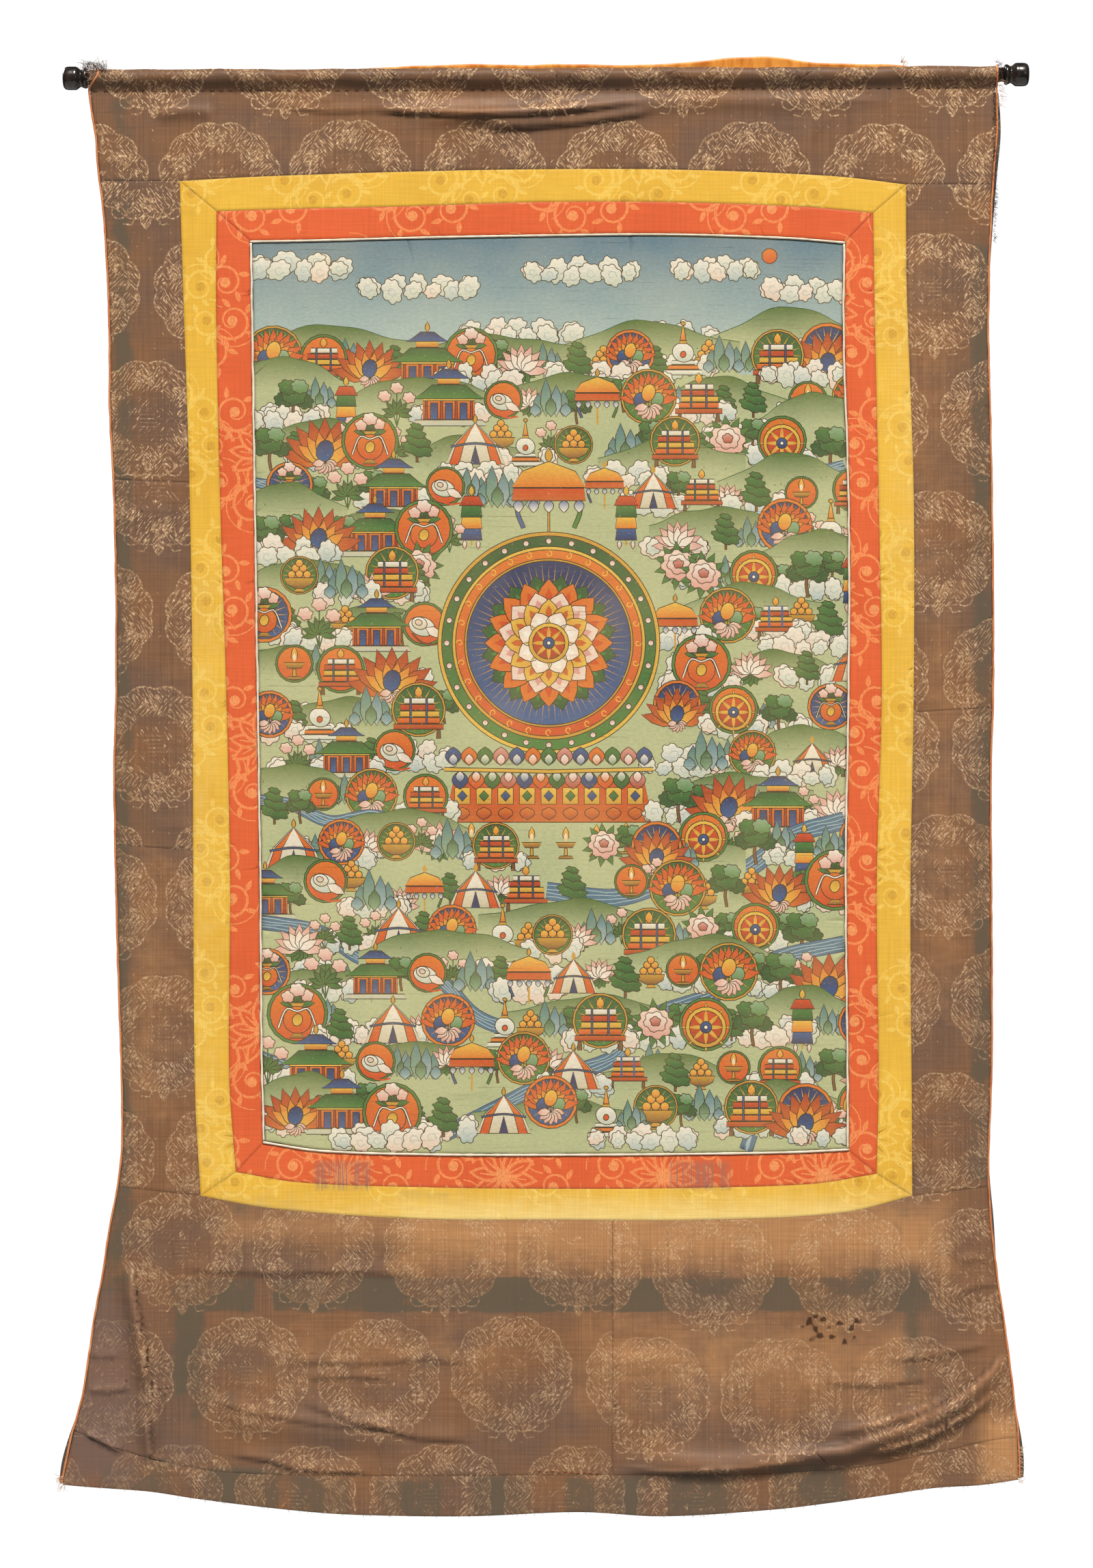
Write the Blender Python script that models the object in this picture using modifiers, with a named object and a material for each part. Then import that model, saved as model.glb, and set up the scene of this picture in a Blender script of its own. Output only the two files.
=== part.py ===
"""A thangka: a painted cloth in a brocade mount, hanging from a turned wooden rod.

Every piece that is cut and sewn is one object. The cloth hangs in the XZ plane with its face
towards -Y. The origin is the middle of the rod's axis. Places on the cloth are given as
(across, down): millimetres to the right of the origin and millimetres below it.
"""

import math

import bmesh
import bpy
from mathutils import Vector

MM = 0.001

# cloth thicknesses and the room between pieces, in millimetres
CLOTH = 1.2
PAINTED_CLOTH = 1.4
LINING = 1.0
VEIL = 1.0
SEAM_GAP = 0.3

# rod and knobs
ROD_RADIUS = 6.2
ROD_ENDS = (-403.3, 402.3)
ROD_TILT = math.radians(0.227)  # the right end hangs a little higher
KNOB_LENGTH = 21.0
KNOB_FLAT_RADIUS = 6.0
# along from the rod, radius
KNOB_PROFILE = (
    (0.0, 8.3),
    (0.6, 8.8),
    (2.2, 8.9),
    (4.2, 7.7),
    (5.6, 7.4),
    (7.2, 8.5),
    (9.4, 10.0),
    (12.6, 10.2),
    (17.0, 10.1),
    (19.4, 9.3),
    (20.6, 7.9),
)

# sleeve: the top panel's cloth goes round the rod and is stitched below it
SLEEVE_RADIUS = 7.4  # to the middle of the cloth
SLEEVE_STITCH_DOWN = 11.0
SLEEVE_FLAP = 4.0
SLEEVE_STEPS = 13
LAYER = 0.9  # the hanging cloth's middle lies this far in front of the rod's axis

# pipings are thin round edgings
SIDE_PIPING_RADIUS = 0.9
PANEL_INSET = 2 * SIDE_PIPING_RADIUS + SEAM_GAP / 2  # the brocade's edge lies this far inside
CREAM_PIPING_RADIUS = 1.0
CREAM_PIPING_PROUD = 0.2

# outline of the hanging cloth: down, left edge, right edge
OUTLINE = (
    (11, -403, 396.5),
    (35, -400, 397),
    (53, -397, 396.5),
    (80, -395, 394),
    (113, -391, 392),
    (149, -388, 390.5),
    (221, -385, 389),
    (293, -384.5, 390.5),
    (365, -381, 392),
    (455, -379, 393),
    (545, -379, 393),
    (617, -380.5, 391),
    (761, -378, 392),
    (869, -374.5, 392),
    (941, -374, 389.5),
    (977, -378, 389.5),
    (1013, -385, 392),
    (1049, -390, 396),
    (1085, -397, 401),
    (1121, -402, 406),
    (1157, -407.5, 410),
    (1193, -417, 414),
    (1236, -426, 415),
)

# bottom edge: across, down
BOTTOM_EDGE = (
    (-426, 1236),
    (-354, 1243),
    (-306, 1251),
    (-210, 1261),
    (-162, 1264),
    (-66, 1266),
    (30, 1262),
    (102, 1265),
    (198, 1260),
    (246, 1255),
    (294, 1248),
    (342, 1240),
    (380, 1236.5),
    (415, 1231),
)

# seam between the bottom panels and the band at the foot: across, down
BAND_SEAM = (
    (-416, 1188),
    (-376, 1205),
    (-330, 1219),
    (-282, 1227),
    (-120, 1230),
    (58, 1229),
    (264, 1224),
    (354, 1206),
    (390, 1197),
    (414, 1194),
)

# corners of the borders: ring, top left, top right, bottom left, bottom right
RINGS = {
    "yellow": ((-322.5, 92), (316, 95), (-304, 984), (321.5, 984)),
    "red": ((-290, 118.5), (287, 120), (-273, 963), (290, 964.5)),
    "cream": ((-261, 144), (263, 145), (-249.5, 938), (266, 944.5)),
}
# outward bow of each side at a tenth, three, five, seven and nine tenths of its length
BOWS = {
    ("yellow", "top"): (4, 9, 12, 12, 7),
    ("yellow", "bottom"): (11, 20, 21, 21, 15),
    ("yellow", "left"): (-1, -3, -2, 1, 3),
    ("yellow", "right"): (0, 5, 4, 0, 0),
    ("red", "top"): (2, 5, 9, 9, 5),
    ("red", "bottom"): (9, 13, 14, 13, 9),
    ("red", "left"): (2, 2, 0, 0, 4),
    ("red", "right"): (1, 4, 6, 1, 2),
    ("cream", "top"): (1, 4, 6, 7, 4),
    ("cream", "bottom"): (7, 9, 8, 6, 3),
    ("cream", "left"): (0, 0, 0, 0, 1),
    ("cream", "right"): (-1, 3, 2, -1, 0),
}
BOW_PLACES = (0.1, 0.3, 0.5, 0.7, 0.9)

# where the seams meet the long edges: stitching, top seam, foot seam, band seam, end
EDGE_SEAMS = {
    "left": (11, 92, 976, 1188, 1236),
    "right": (11, 95, 976, 1194, 1231),
}
# seams of the side panels, as shares of the side's length
LEFT_PANEL_SEAMS = (0.297, 0.66)
RIGHT_PANEL_SEAMS = (0.522,)
BOTTOM_PANEL_SEAM = 58.0  # across

# broad swells of the hanging cloth: across, down, half width, half height, rise to the front
SWELLS = (
    (-410, 1240, 60, 130, 10),
    (-318, 1245, 42, 110, -3),
    (-190, 1262, 75, 120, 4),
    (-40, 1266, 65, 110, -2),
    (110, 1264, 75, 120, 4),
    (262, 1250, 60, 110, -3),
    (410, 1225, 70, 140, 12),
    (-385, 560, 45, 260, 2),
    (390, 470, 45, 260, 2.5),
    (-90, 520, 260, 330, -2.5),
    (170, 800, 150, 150, 1.5),
    (-180, 860, 120, 110, 1.5),
)

# main folds: their run as (across, down) points, half width, rise to the front
FOLDS = (
    (((408, 1128), (372, 1160), (328, 1188), (263, 1210), (150, 1219), (61, 1214)), 12, 8),
    (((330, 1165), (292, 1184), (225, 1196)), 9, 3),
    (((-364, 1040), (-360, 1085), (-348, 1156), (-350, 1213)), 10, 5),
    (((-135, 37), (-15, 33), (50, 21), (150, 17), (300, 19)), 9, 4.5),
    (((-302, 1166), (-266, 1180), (-186, 1191), (-113, 1197)), 11, 2.5),
    (((-346, 27), (-290, 26)), 9, 1.5),
)
FOLD_END_SHARE = 0.18  # each fold fades in over this share of its run
RELIEF_START = 12.0
RELIEF_FULL = 34.0

# the lining hangs slack behind the face cloth and shows past it here and there:
# down, past the left edge, past the right edge
LINING_EDGE = (
    (15, -0.6, 0.6),
    (60, -0.6, 3),
    (110, -0.6, 2),
    (200, -0.6, -0.6),
    (940, -0.6, -0.6),
    (1000, -0.6, 2),
    (1060, -0.6, -0.6),
    (1170, 0, 0),
    (1215, 3, 3.5),
    (1236, 1.5, 2.5),
)
LINING_START = 15.8
LINING_SHORT = 1.5  # it ends this far above the bottom edge
LINING_BEHIND = 1.75  # from the middle of the face cloth to the middle of the lining
LINING_SLACK = (0.8, 2.2)  # at the sewn edges and inside
LINING_SEWN = 45.0  # the slack closes over this width along the edges

# the veil is thrown back over the rod; its wavy top shows above the sleeve: across, height
VEIL_TOP = (
    (-168, 7.0),
    (-114, 12),
    (-66, 14),
    (-18, 13),
    (30, 14),
    (78, 13),
    (126, 15),
    (174, 20),
    (198, 19),
    (246, 14),
    (294, 14),
    (316, 12),
)
# section of the veil behind the sleeve: distance behind the axis, height
VEIL_SECTION = (
    (8.9, 0.0),
    (8.4, -8.0),
    (7.2, -20.0),
    (6.6, -38.0),
    (6.8, -58.0),
)
VEIL_FOLD_PITCH = 61.0
VEIL_FOLD_RISE = 1.4

# sampling: how many steps each piece is cut into, and the shares of the width that lie
# beside the yellow border
TOP_SIDE_SHARE = 0.1
TOP_SIDE_COLUMNS = 4
TOP_COLUMNS = 18
BOTTOM_SIDE_SHARE = 0.13
BOTTOM_SIDE_COLUMNS = 7
BOTTOM_COLUMNS = 32
LONG_STEP = 0.055  # share of a long side between rows
SIDE_PANEL_COLUMNS = 3
PLANE_ROWS = (0.0, 0.09, 0.18, 0.28, 0.4, 0.55, 0.75, 1.0)
BOTTOM_ROWS = (0.0, 0.14, 0.28, 0.41, 0.52, 0.62, 0.7, 0.78, 0.85, 0.92, 1.0)
BAND_ROWS = (0.0, 0.45, 1.0)
PAINTING_STEPS = (16, 20)
LINING_STEPS = (24, 26)
VEIL_COLUMNS = 26
VEIL_TOP_ROWS = (1.0, 0.5)  # shares of its height above the axis
PIPING_STEPS = 20
PIPING_ROUNDING = 1
ROUND_STEPS = 28
MERGE = 0.00001
LEAST_SINE = 0.5  # mitred ends are no sharper than this


# ---------------------------------------------------------------- curves on the cloth


def through(rows, column, at):
    """A smooth curve through the rows' first column and the named column."""
    if at <= rows[0][0]:
        return rows[0][column]
    if at >= rows[-1][0]:
        return rows[-1][column]
    index = next(i for i in range(len(rows) - 1) if at <= rows[i + 1][0])

    def slope(i):
        low, high = rows[max(i - 1, 0)], rows[min(i + 1, len(rows) - 1)]
        return (high[column] - low[column]) / (high[0] - low[0])

    start, end = rows[index], rows[index + 1]
    span = end[0] - start[0]
    s = (at - start[0]) / span
    bend_in = s * (1 - s) ** 2 * span * slope(index)
    bend_out = s * s * (s - 1) * span * slope(index + 1)
    blend = s * s * (3 - 2 * s)
    return start[column] * (1 - blend) + end[column] * blend + bend_in + bend_out


def ease(value):
    """0 below 0, 1 above 1 and smooth between."""
    s = min(max(value, 0.0), 1.0)
    return s * s * (3 - 2 * s)


def straight(start, end):
    """The straight line between two places, as a function of its share."""
    a, b = Vector(start), Vector(end)
    return lambda t: a.lerp(b, t)


def border(ring, side):
    """One bowed side of a border, from left to right or from top to bottom."""
    top_left, top_right, bottom_left, bottom_right = (Vector(c) for c in RINGS[ring])
    start, end, outward = {
        "top": (top_left, top_right, Vector((0, -1))),
        "bottom": (bottom_left, bottom_right, Vector((0, 1))),
        "left": (top_left, bottom_left, Vector((-1, 0))),
        "right": (top_right, bottom_right, Vector((1, 0))),
    }[side]
    bows = [(0.0, 0.0), *zip(BOW_PLACES, BOWS[ring, side]), (1.0, 0.0)]
    return lambda t: start.lerp(end, t) + outward * through(bows, 1, t)


def edge(side, start_down, end_down, inset):
    """A stretch of the cloth's left or right outline, drawn in by inset."""
    column, inward = (1, 1) if side == "left" else (2, -1)

    def place(t):
        down = start_down + (end_down - start_down) * t
        return Vector((through(OUTLINE, column, down) + inward * inset, down))

    return place


def table_line(rows, start_across, end_across, up=0.0):
    """A stretch of a line that is given as across and down."""

    def place(t):
        across = start_across + (end_across - start_across) * t
        return Vector((across, through(rows, 1, across) - up))

    return place


def joined(side_share, lines):
    """Three lines end to end, the outer two side_share of the whole each."""
    limits = (0.0, side_share, 1 - side_share, 1.0)

    def place(t):
        index = next(i for i in range(len(lines)) if t <= limits[i + 1] + 1e-9)
        start, end = limits[index], limits[index + 1]
        return lines[index]((t - start) / (end - start))

    return place


def part_of(line, start, end):
    """A stretch of a line, as a line of its own."""
    return lambda t: line(start + (end - start) * t)


def edge_to(line, first, last=None):
    """The same line, moved so that it runs exactly from first, and to last where given."""
    shift_first = first - line(0.0)
    shift_last = Vector((0, 0)) if last is None else last - line(1.0)
    return lambda t: line(t) + shift_first * (1 - t) + shift_last * t


def steps(count, start=0.0, end=1.0):
    """Even shares from start to end."""
    return [start + (end - start) * i / count for i in range(count + 1)]


def wide_columns(side_share, side_count, middle_count):
    """The shares of a wide piece's columns: finer beside the yellow border than below it."""
    return (
        steps(side_count, 0.0, side_share)
        + steps(middle_count, side_share, 1 - side_share)[1:]
        + steps(side_count, 1 - side_share, 1.0)[1:]
    )


def side_panel_rows(side):
    """The shares at which each side panel starts and ends, and its rows between them."""
    bounds = (0.0, *(LEFT_PANEL_SEAMS if side == "left" else RIGHT_PANEL_SEAMS), 1.0)
    return [
        (start, end, steps(max(2, round((end - start) / LONG_STEP))))
        for start, end in zip(bounds, bounds[1:])
    ]


def edge_downs(side):
    """Every down at which the panels have a point on this long edge."""
    stitching, top_seam, foot_seam, band_seam, end = EDGE_SEAMS[side]
    shares = [start + (finish - start) * t for start, finish, rows in side_panel_rows(side) for t in rows]
    runs = (
        (stitching, top_seam, PLANE_ROWS),
        (top_seam, foot_seam, shares),
        (foot_seam, band_seam, BOTTOM_ROWS),
        (band_seam, end, BAND_ROWS),
    )
    return sorted({round(start + (finish - start) * t, 4) for start, finish, rows in runs for t in rows})


def patch(top, bottom, left, right, columns, rows):
    """Rows of places between four lines that meet at the corners."""
    c00, c10, c01, c11 = top(0.0), top(1.0), bottom(0.0), bottom(1.0)
    grid = []
    for v in rows:
        at_left, at_right = left(v), right(v)
        row = []
        for u in columns:
            across = at_left * (1 - u) + at_right * u
            downward = top(u) * (1 - v) + bottom(u) * v
            corners = (c00 * (1 - u) + c10 * u) * (1 - v) + (c01 * (1 - u) + c11 * u) * v
            row.append(across + downward - corners)
        grid.append(row)
    return grid


def draw_in(grid, gap=SEAM_GAP):
    """The same patch, half a seam gap smaller on all four sides, also at slanted ends."""

    def pulled(lines):
        result = [list(line) for line in lines]
        last = len(lines) - 1
        for i, line in enumerate(lines):
            for end, inner in ((0, 1), (-1, -2)):
                run = line[inner] - line[end]
                rim = lines[min(i + 1, last)][end] - lines[max(i - 1, 0)][end]
                sine = abs(run.cross(rim)) / (run.length * rim.length)
                result[i][end] = line[end] + run.normalized() * (gap / 2 / max(sine, LEAST_SINE))
        return result

    across = pulled(grid)
    return [list(row) for row in zip(*pulled([list(column) for column in zip(*across)]))]


# ---------------------------------------------------------------- how the cloth hangs


def swell(across, down):
    """Broad swells towards the front."""
    rise = 0.0
    for x, z, half_width, half_height, height in SWELLS:
        away = ((across - x) / half_width) ** 2 + ((down - z) / half_height) ** 2
        rise += height * math.exp(-away)
    return rise


def run_distance(place, points):
    """Distance to a line of points, and the share of its run at the nearest place."""
    lengths = [(Vector(b) - Vector(a)).length for a, b in zip(points, points[1:])]
    nearest, share, passed = math.inf, 0.0, 0.0
    for a, b, length in zip(points, points[1:], lengths):
        start, along = Vector(a), (Vector(b) - Vector(a)) / length
        at = min(max((place - start).dot(along), 0.0), length)
        distance = (place - start - along * at).length
        if distance < nearest:
            nearest, share = distance, (passed + at) / sum(lengths)
        passed += length
    return nearest, share


def folds(across, down):
    """The main folds, each a soft ridge along its run."""
    rise = 0.0
    for points, half_width, height in FOLDS:
        distance, share = run_distance(Vector((across, down)), points)
        fade = ease(share / FOLD_END_SHARE) * ease((1 - share) / FOLD_END_SHARE)
        rise += height * fade * math.exp(-((distance / half_width) ** 2))
    return rise


def relief(across, down, with_folds=True):
    """How far the cloth stands out to the front here; nothing at the sleeve's stitching."""
    start = ease((down - RELIEF_START) / (RELIEF_FULL - RELIEF_START))
    return start * (swell(across, down) + (folds(across, down) if with_folds else 0.0))


def on_cloth(place, behind=0.0):
    """The place in space of a place on the hanging cloth."""
    across, down = place
    return Vector((across, behind - LAYER - relief(across, down), -down)) * MM


def below_rod(left, right, distance):
    """A line along the hanging cloth at this distance below the rod's axis."""

    def place(t):
        across = left + (right - left) * t
        return Vector((across, distance - across * math.tan(ROD_TILT)))

    return place


def sleeve_section(count, behind_end):
    """The cloth's way round the rod from the front stitching, as (y, z) about the axis."""
    reach = math.hypot(LAYER, SLEEVE_STITCH_DOWN)
    leave = math.atan2(LAYER, SLEEVE_STITCH_DOWN) + math.acos(SLEEVE_RADIUS / reach)
    section = []
    for i in range(count + 1):
        angle = leave + (2 * math.pi - 2 * leave) * i / count
        section.append((-SLEEVE_RADIUS * math.sin(angle), -SLEEVE_RADIUS * math.cos(angle)))
    if behind_end:
        section.append((LAYER, -SLEEVE_STITCH_DOWN))
        section.append((LAYER, -SLEEVE_STITCH_DOWN - SLEEVE_FLAP))
    return section


def round_rod(across, y, z):
    """A place given about the rod's axis at this distance across."""
    return Vector((across, y, z + across * math.tan(ROD_TILT))) * MM


# ---------------------------------------------------------------- objects and materials


def clear_scene():
    for obj in list(bpy.data.objects):
        bpy.data.objects.remove(obj, do_unlink=True)


def material(name, hex_colour, roughness):
    mat = bpy.data.materials.new(name)
    mat.use_nodes = True
    shader = mat.node_tree.nodes["Principled BSDF"]
    channels = [int(hex_colour[i:i + 2], 16) / 255 for i in (0, 2, 4)]
    linear = [c / 12.92 if c <= 0.04045 else ((c + 0.055) / 1.055) ** 2.4 for c in channels]
    shader.inputs["Base Color"].default_value = (*linear, 1.0)
    shader.inputs["Roughness"].default_value = roughness
    shader.inputs["Metallic"].default_value = 0.0
    return mat


def link(obj, mat, hanging):
    hanging["collection"].objects.link(obj)
    obj.data.materials.append(mat)
    obj.parent = hanging["empty"]
    return obj


def sheet(name, points, thickness, mat, hanging):
    """A grid primitive bent to rows of points and given its thickness."""
    rows, columns = len(points) - 1, len(points[0]) - 1
    cells = bmesh.new()
    bmesh.ops.create_grid(cells, x_segments=columns, y_segments=rows, size=0.5)
    for vertex in cells.verts:
        column = round((vertex.co.x + 0.5) * columns)
        row = round((0.5 - vertex.co.y) * rows)
        vertex.co = points[row][column]
    for face in cells.faces:
        face.smooth = True
    mesh = bpy.data.meshes.new(name)
    cells.to_mesh(mesh)
    cells.free()
    obj = bpy.data.objects.new(name, mesh)
    solidify = obj.modifiers.new("thickness", "SOLIDIFY")
    solidify.thickness = thickness * MM
    solidify.offset = 0.0
    return link(obj, mat, hanging)


def cloth_piece(name, grid, mat, hanging, thickness=CLOTH):
    """A flat-cut piece of the hanging cloth."""
    points = [[on_cloth(place) for place in row] for row in draw_in(grid)]
    return sheet(name, points, thickness, mat, hanging)


def piping(name, points, radius, mat, hanging):
    """A round edging along points."""
    curve = bpy.data.curves.new(name, "CURVE")
    curve.dimensions = "3D"
    curve.bevel_depth = radius * MM
    curve.bevel_resolution = PIPING_ROUNDING
    curve.use_fill_caps = True
    spline = curve.splines.new("POLY")
    spline.points.add(len(points) - 1)
    for control, point in zip(spline.points, points):
        control.co = (*point, 1.0)
    return link(bpy.data.objects.new(name, curve), mat, hanging)


def turned(name, profile, mat, hanging, location, turn):
    """A profile of (radius, height), top first, turned round its axis."""
    shape = bmesh.new()
    corners = [shape.verts.new((radius * MM, 0.0, height * MM)) for radius, height in profile]
    for a, b in zip(corners, corners[1:]):
        shape.edges.new((a, b))
    mesh = bpy.data.meshes.new(name)
    shape.to_mesh(mesh)
    shape.free()
    obj = bpy.data.objects.new(name, mesh)
    screw = obj.modifiers.new("turning", "SCREW")
    screw.steps = ROUND_STEPS
    screw.render_steps = ROUND_STEPS
    screw.use_merge_vertices = True
    screw.merge_threshold = MERGE
    obj.location = location
    obj.rotation_euler = (0.0, turn, 0.0)
    return link(obj, mat, hanging)


# ---------------------------------------------------------------- the pieces


def make_rod(wood, hanging):
    start, end = ROD_ENDS
    length = end - start
    profile = ((0, length), (ROD_RADIUS, length), (ROD_RADIUS, 0), (0, 0))
    level = math.pi / 2 - ROD_TILT
    turned("rod", profile, wood, hanging, round_rod(start, 0, 0), level)
    knob = [(0, KNOB_LENGTH), (KNOB_FLAT_RADIUS, KNOB_LENGTH)]
    knob += [(radius, along) for along, radius in reversed(KNOB_PROFILE)]
    knob += [(0, 0)]
    turned("knob_right", knob, wood, hanging, round_rod(end + SEAM_GAP, 0, 0), level)
    turned("knob_left", knob, wood, hanging, round_rod(start - SEAM_GAP, 0, 0), level - math.pi)


def make_top_panel(brocade, hanging):
    """The panel above the painting, with its cloth carried round the rod as a sleeve."""
    yellow_left, yellow_right = border("yellow", "top")(0.0), border("yellow", "top")(1.0)
    left = edge("left", *EDGE_SEAMS["left"][:2], PANEL_INSET)
    right = edge("right", *EDGE_SEAMS["right"][:2], PANEL_INSET)
    stitching = below_rod(left(0.0).x, right(0.0).x, SLEEVE_STITCH_DOWN)
    lower = joined(
        TOP_SIDE_SHARE,
        (straight(left(1.0), yellow_left), border("yellow", "top"), straight(yellow_right, right(1.0))),
    )
    columns = wide_columns(TOP_SIDE_SHARE, TOP_SIDE_COLUMNS, TOP_COLUMNS)
    left, right = edge_to(left, stitching(0.0)), edge_to(right, stitching(1.0))
    flat = draw_in(patch(stitching, lower, left, right, columns, PLANE_ROWS))
    points = [[on_cloth(place) for place in row] for row in flat]
    front = flat[0]
    sleeve = [
        [round_rod(place.x, y, z) for place in front]
        for y, z in sleeve_section(SLEEVE_STEPS, behind_end=True)
    ]
    sheet("top_panel", list(reversed(sleeve)) + points, CLOTH, brocade, hanging)


def make_side_panels(brocade, hanging):
    """The brocade down both sides of the painting, pieced across."""
    for side in ("left", "right"):
        inner = border("yellow", side)
        outer = edge(side, *EDGE_SEAMS[side][1:3], PANEL_INSET)
        for number, (start, end, rows) in enumerate(side_panel_rows(side), 1):
            inner_part = part_of(inner, start, end)
            outer_part = part_of(outer, start, end)
            lines = (outer_part, inner_part) if side == "left" else (inner_part, outer_part)
            top = straight(lines[0](0.0), lines[1](0.0))
            bottom = straight(lines[0](1.0), lines[1](1.0))
            grid = patch(top, bottom, *lines, steps(SIDE_PANEL_COLUMNS), rows)
            cloth_piece(f"{side}_panel_{number}", grid, brocade, hanging)


def make_bottom_panels(brocade, hanging):
    """The two panels below the painting and the band along the foot."""
    yellow = border("yellow", "bottom")
    left = edge("left", *EDGE_SEAMS["left"][2:4], PANEL_INSET)
    right = edge("right", *EDGE_SEAMS["right"][2:4], PANEL_INSET)
    upper = joined(
        BOTTOM_SIDE_SHARE,
        (straight(left(0.0), yellow(0.0)), yellow, straight(yellow(1.0), right(0.0))),
    )
    lower = table_line(BAND_SEAM, left(1.0).x, right(1.0).x)
    columns = wide_columns(BOTTOM_SIDE_SHARE, BOTTOM_SIDE_COLUMNS, BOTTOM_COLUMNS)
    grid = patch(upper, lower, left, right, columns, BOTTOM_ROWS)
    middle = min(range(len(columns)), key=lambda i: abs(grid[0][i].x - BOTTOM_PANEL_SEAM))
    cloth_piece("bottom_panel_left", [row[:middle + 1] for row in grid], brocade, hanging)
    cloth_piece("bottom_panel_right", [row[middle:] for row in grid], brocade, hanging)

    foot_left = edge("left", *EDGE_SEAMS["left"][3:], PANEL_INSET)
    foot_right = edge("right", *EDGE_SEAMS["right"][3:], PANEL_INSET)
    foot = table_line(BOTTOM_EDGE, foot_left(1.0).x, foot_right(1.0).x)
    foot_left, foot_right = edge_to(foot_left, lower(0.0)), edge_to(foot_right, lower(1.0))
    grid = patch(lower, foot, foot_left, foot_right, columns, BAND_ROWS)
    cloth_piece("foot_band", grid, brocade, hanging)


def make_border(ring, inner_ring, mat, hanging):
    """Four mitred strips between one ring and the next."""
    for side in ("top", "bottom", "left", "right"):
        outer, inner = border(ring, side), border(inner_ring, side)
        count = {"top": TOP_COLUMNS, "bottom": BOTTOM_COLUMNS}.get(side, round(1 / LONG_STEP))
        if side in ("top", "left"):
            first, second = outer, inner
        else:
            first, second = inner, outer
        ends = straight(first(0.0), second(0.0)), straight(first(1.0), second(1.0))
        if side in ("top", "bottom"):
            grid = patch(first, second, *ends, steps(count), steps(1))
        else:
            grid = patch(*ends, first, second, steps(1), steps(count))
        cloth_piece(f"{ring}_{side}", grid, mat, hanging)


def make_cream_piping(cream, hanging):
    """A round edging down each side between the red border and the painted cloth."""
    middle = CREAM_PIPING_RADIUS + SEAM_GAP
    moves = {"top": (0, middle), "bottom": (0, -middle), "left": (middle, 0), "right": (-middle, 0)}
    for side, move in moves.items():
        line = border("cream", side)
        length = (line(1.0) - line(0.0)).length
        # the top and bottom edgings run the whole width, and the upright ones stop short of them
        stop = (2 * middle if side in ("left", "right") else SEAM_GAP) / length
        points = [
            on_cloth(line(t) + Vector(move), -CREAM_PIPING_PROUD)
            for t in steps(PIPING_STEPS, stop, 1 - stop)
        ]
        piping(f"cream_piping_{side}", points, CREAM_PIPING_RADIUS, cream, hanging)


def make_painting(painted, hanging):
    """The painted cloth inside the cream edging."""
    width = 2 * (CREAM_PIPING_RADIUS + SEAM_GAP) - SEAM_GAP / 2
    top, bottom, left, right = (border("cream", side) for side in ("top", "bottom", "left", "right"))
    corners = [
        Vector((corner[0] + x * width, corner[1] + y * width))
        for corner, x, y in zip(RINGS["cream"], (1, -1, 1, -1), (1, 1, -1, -1))
    ]

    grid = patch(
        edge_to(top, corners[0], corners[1]),
        edge_to(bottom, corners[2], corners[3]),
        edge_to(left, corners[0], corners[2]),
        edge_to(right, corners[1], corners[3]),
        steps(PAINTING_STEPS[0]),
        steps(PAINTING_STEPS[1]),
    )
    cloth_piece("painting", grid, painted, hanging, PAINTED_CLOTH)


def make_side_pipings(orange, hanging):
    """The orange edgings of both long edges, carried over the ends of the sleeve."""
    for side in ("left", "right"):
        line = edge(side, 0.0, 1.0, SIDE_PIPING_RADIUS)  # its share is the down itself
        points = [on_cloth(line(down)) for down in edge_downs(side)]
        top = line(SLEEVE_STITCH_DOWN).x
        points[0] = round_rod(top, -LAYER, -SLEEVE_STITCH_DOWN)
        loop = [round_rod(top, y, z) for y, z in sleeve_section(SLEEVE_STEPS, behind_end=False)]
        piping(f"side_piping_{side}", list(reversed(loop)) + points, SIDE_PIPING_RADIUS, orange, hanging)


def make_lining(lining, hanging):
    """The backing cloth, sewn in along the edges and slack between them."""
    last = OUTLINE[-1][0]
    lower = table_line(BOTTOM_EDGE, BOTTOM_EDGE[0][0], BOTTOM_EDGE[-1][0], LINING_SHORT)

    def side_line(column, outward, end):
        def place(t):
            down = LINING_START + (end.y - LINING_START) * t
            past = through(LINING_EDGE, column, min(down, last))
            return Vector((through(OUTLINE, column, down) + outward * past, down))

        return place

    left = side_line(1, -1, lower(0.0))
    right = side_line(2, 1, lower(1.0))
    upper = below_rod(left(0.0).x, right(0.0).x, LINING_START)
    grid = patch(
        upper,
        edge_to(lower, left(1.0), right(1.0)),
        edge_to(left, upper(0.0)),
        edge_to(right, upper(1.0)),
        steps(LINING_STEPS[0]),
        steps(LINING_STEPS[1]),
    )
    points = []
    for row in grid:
        points.append([])
        for place in row:
            to_side = min(place.x - row[0].x, row[-1].x - place.x)
            to_end = min(place.y - LINING_START, grid[-1][0].y - place.y)
            inside = ease(to_side / LINING_SEWN) * ease(to_end / LINING_SEWN)
            at_edge, within = LINING_SLACK
            slack = at_edge * ease((place.y - LINING_START) / LINING_SEWN) + (within - at_edge) * inside
            behind = LINING_BEHIND + slack - LAYER - relief(*place, with_folds=False)
            points[-1].append(Vector((place.x, behind, -place.y)) * MM)
    sheet("lining", points, LINING, lining, hanging)


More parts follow.
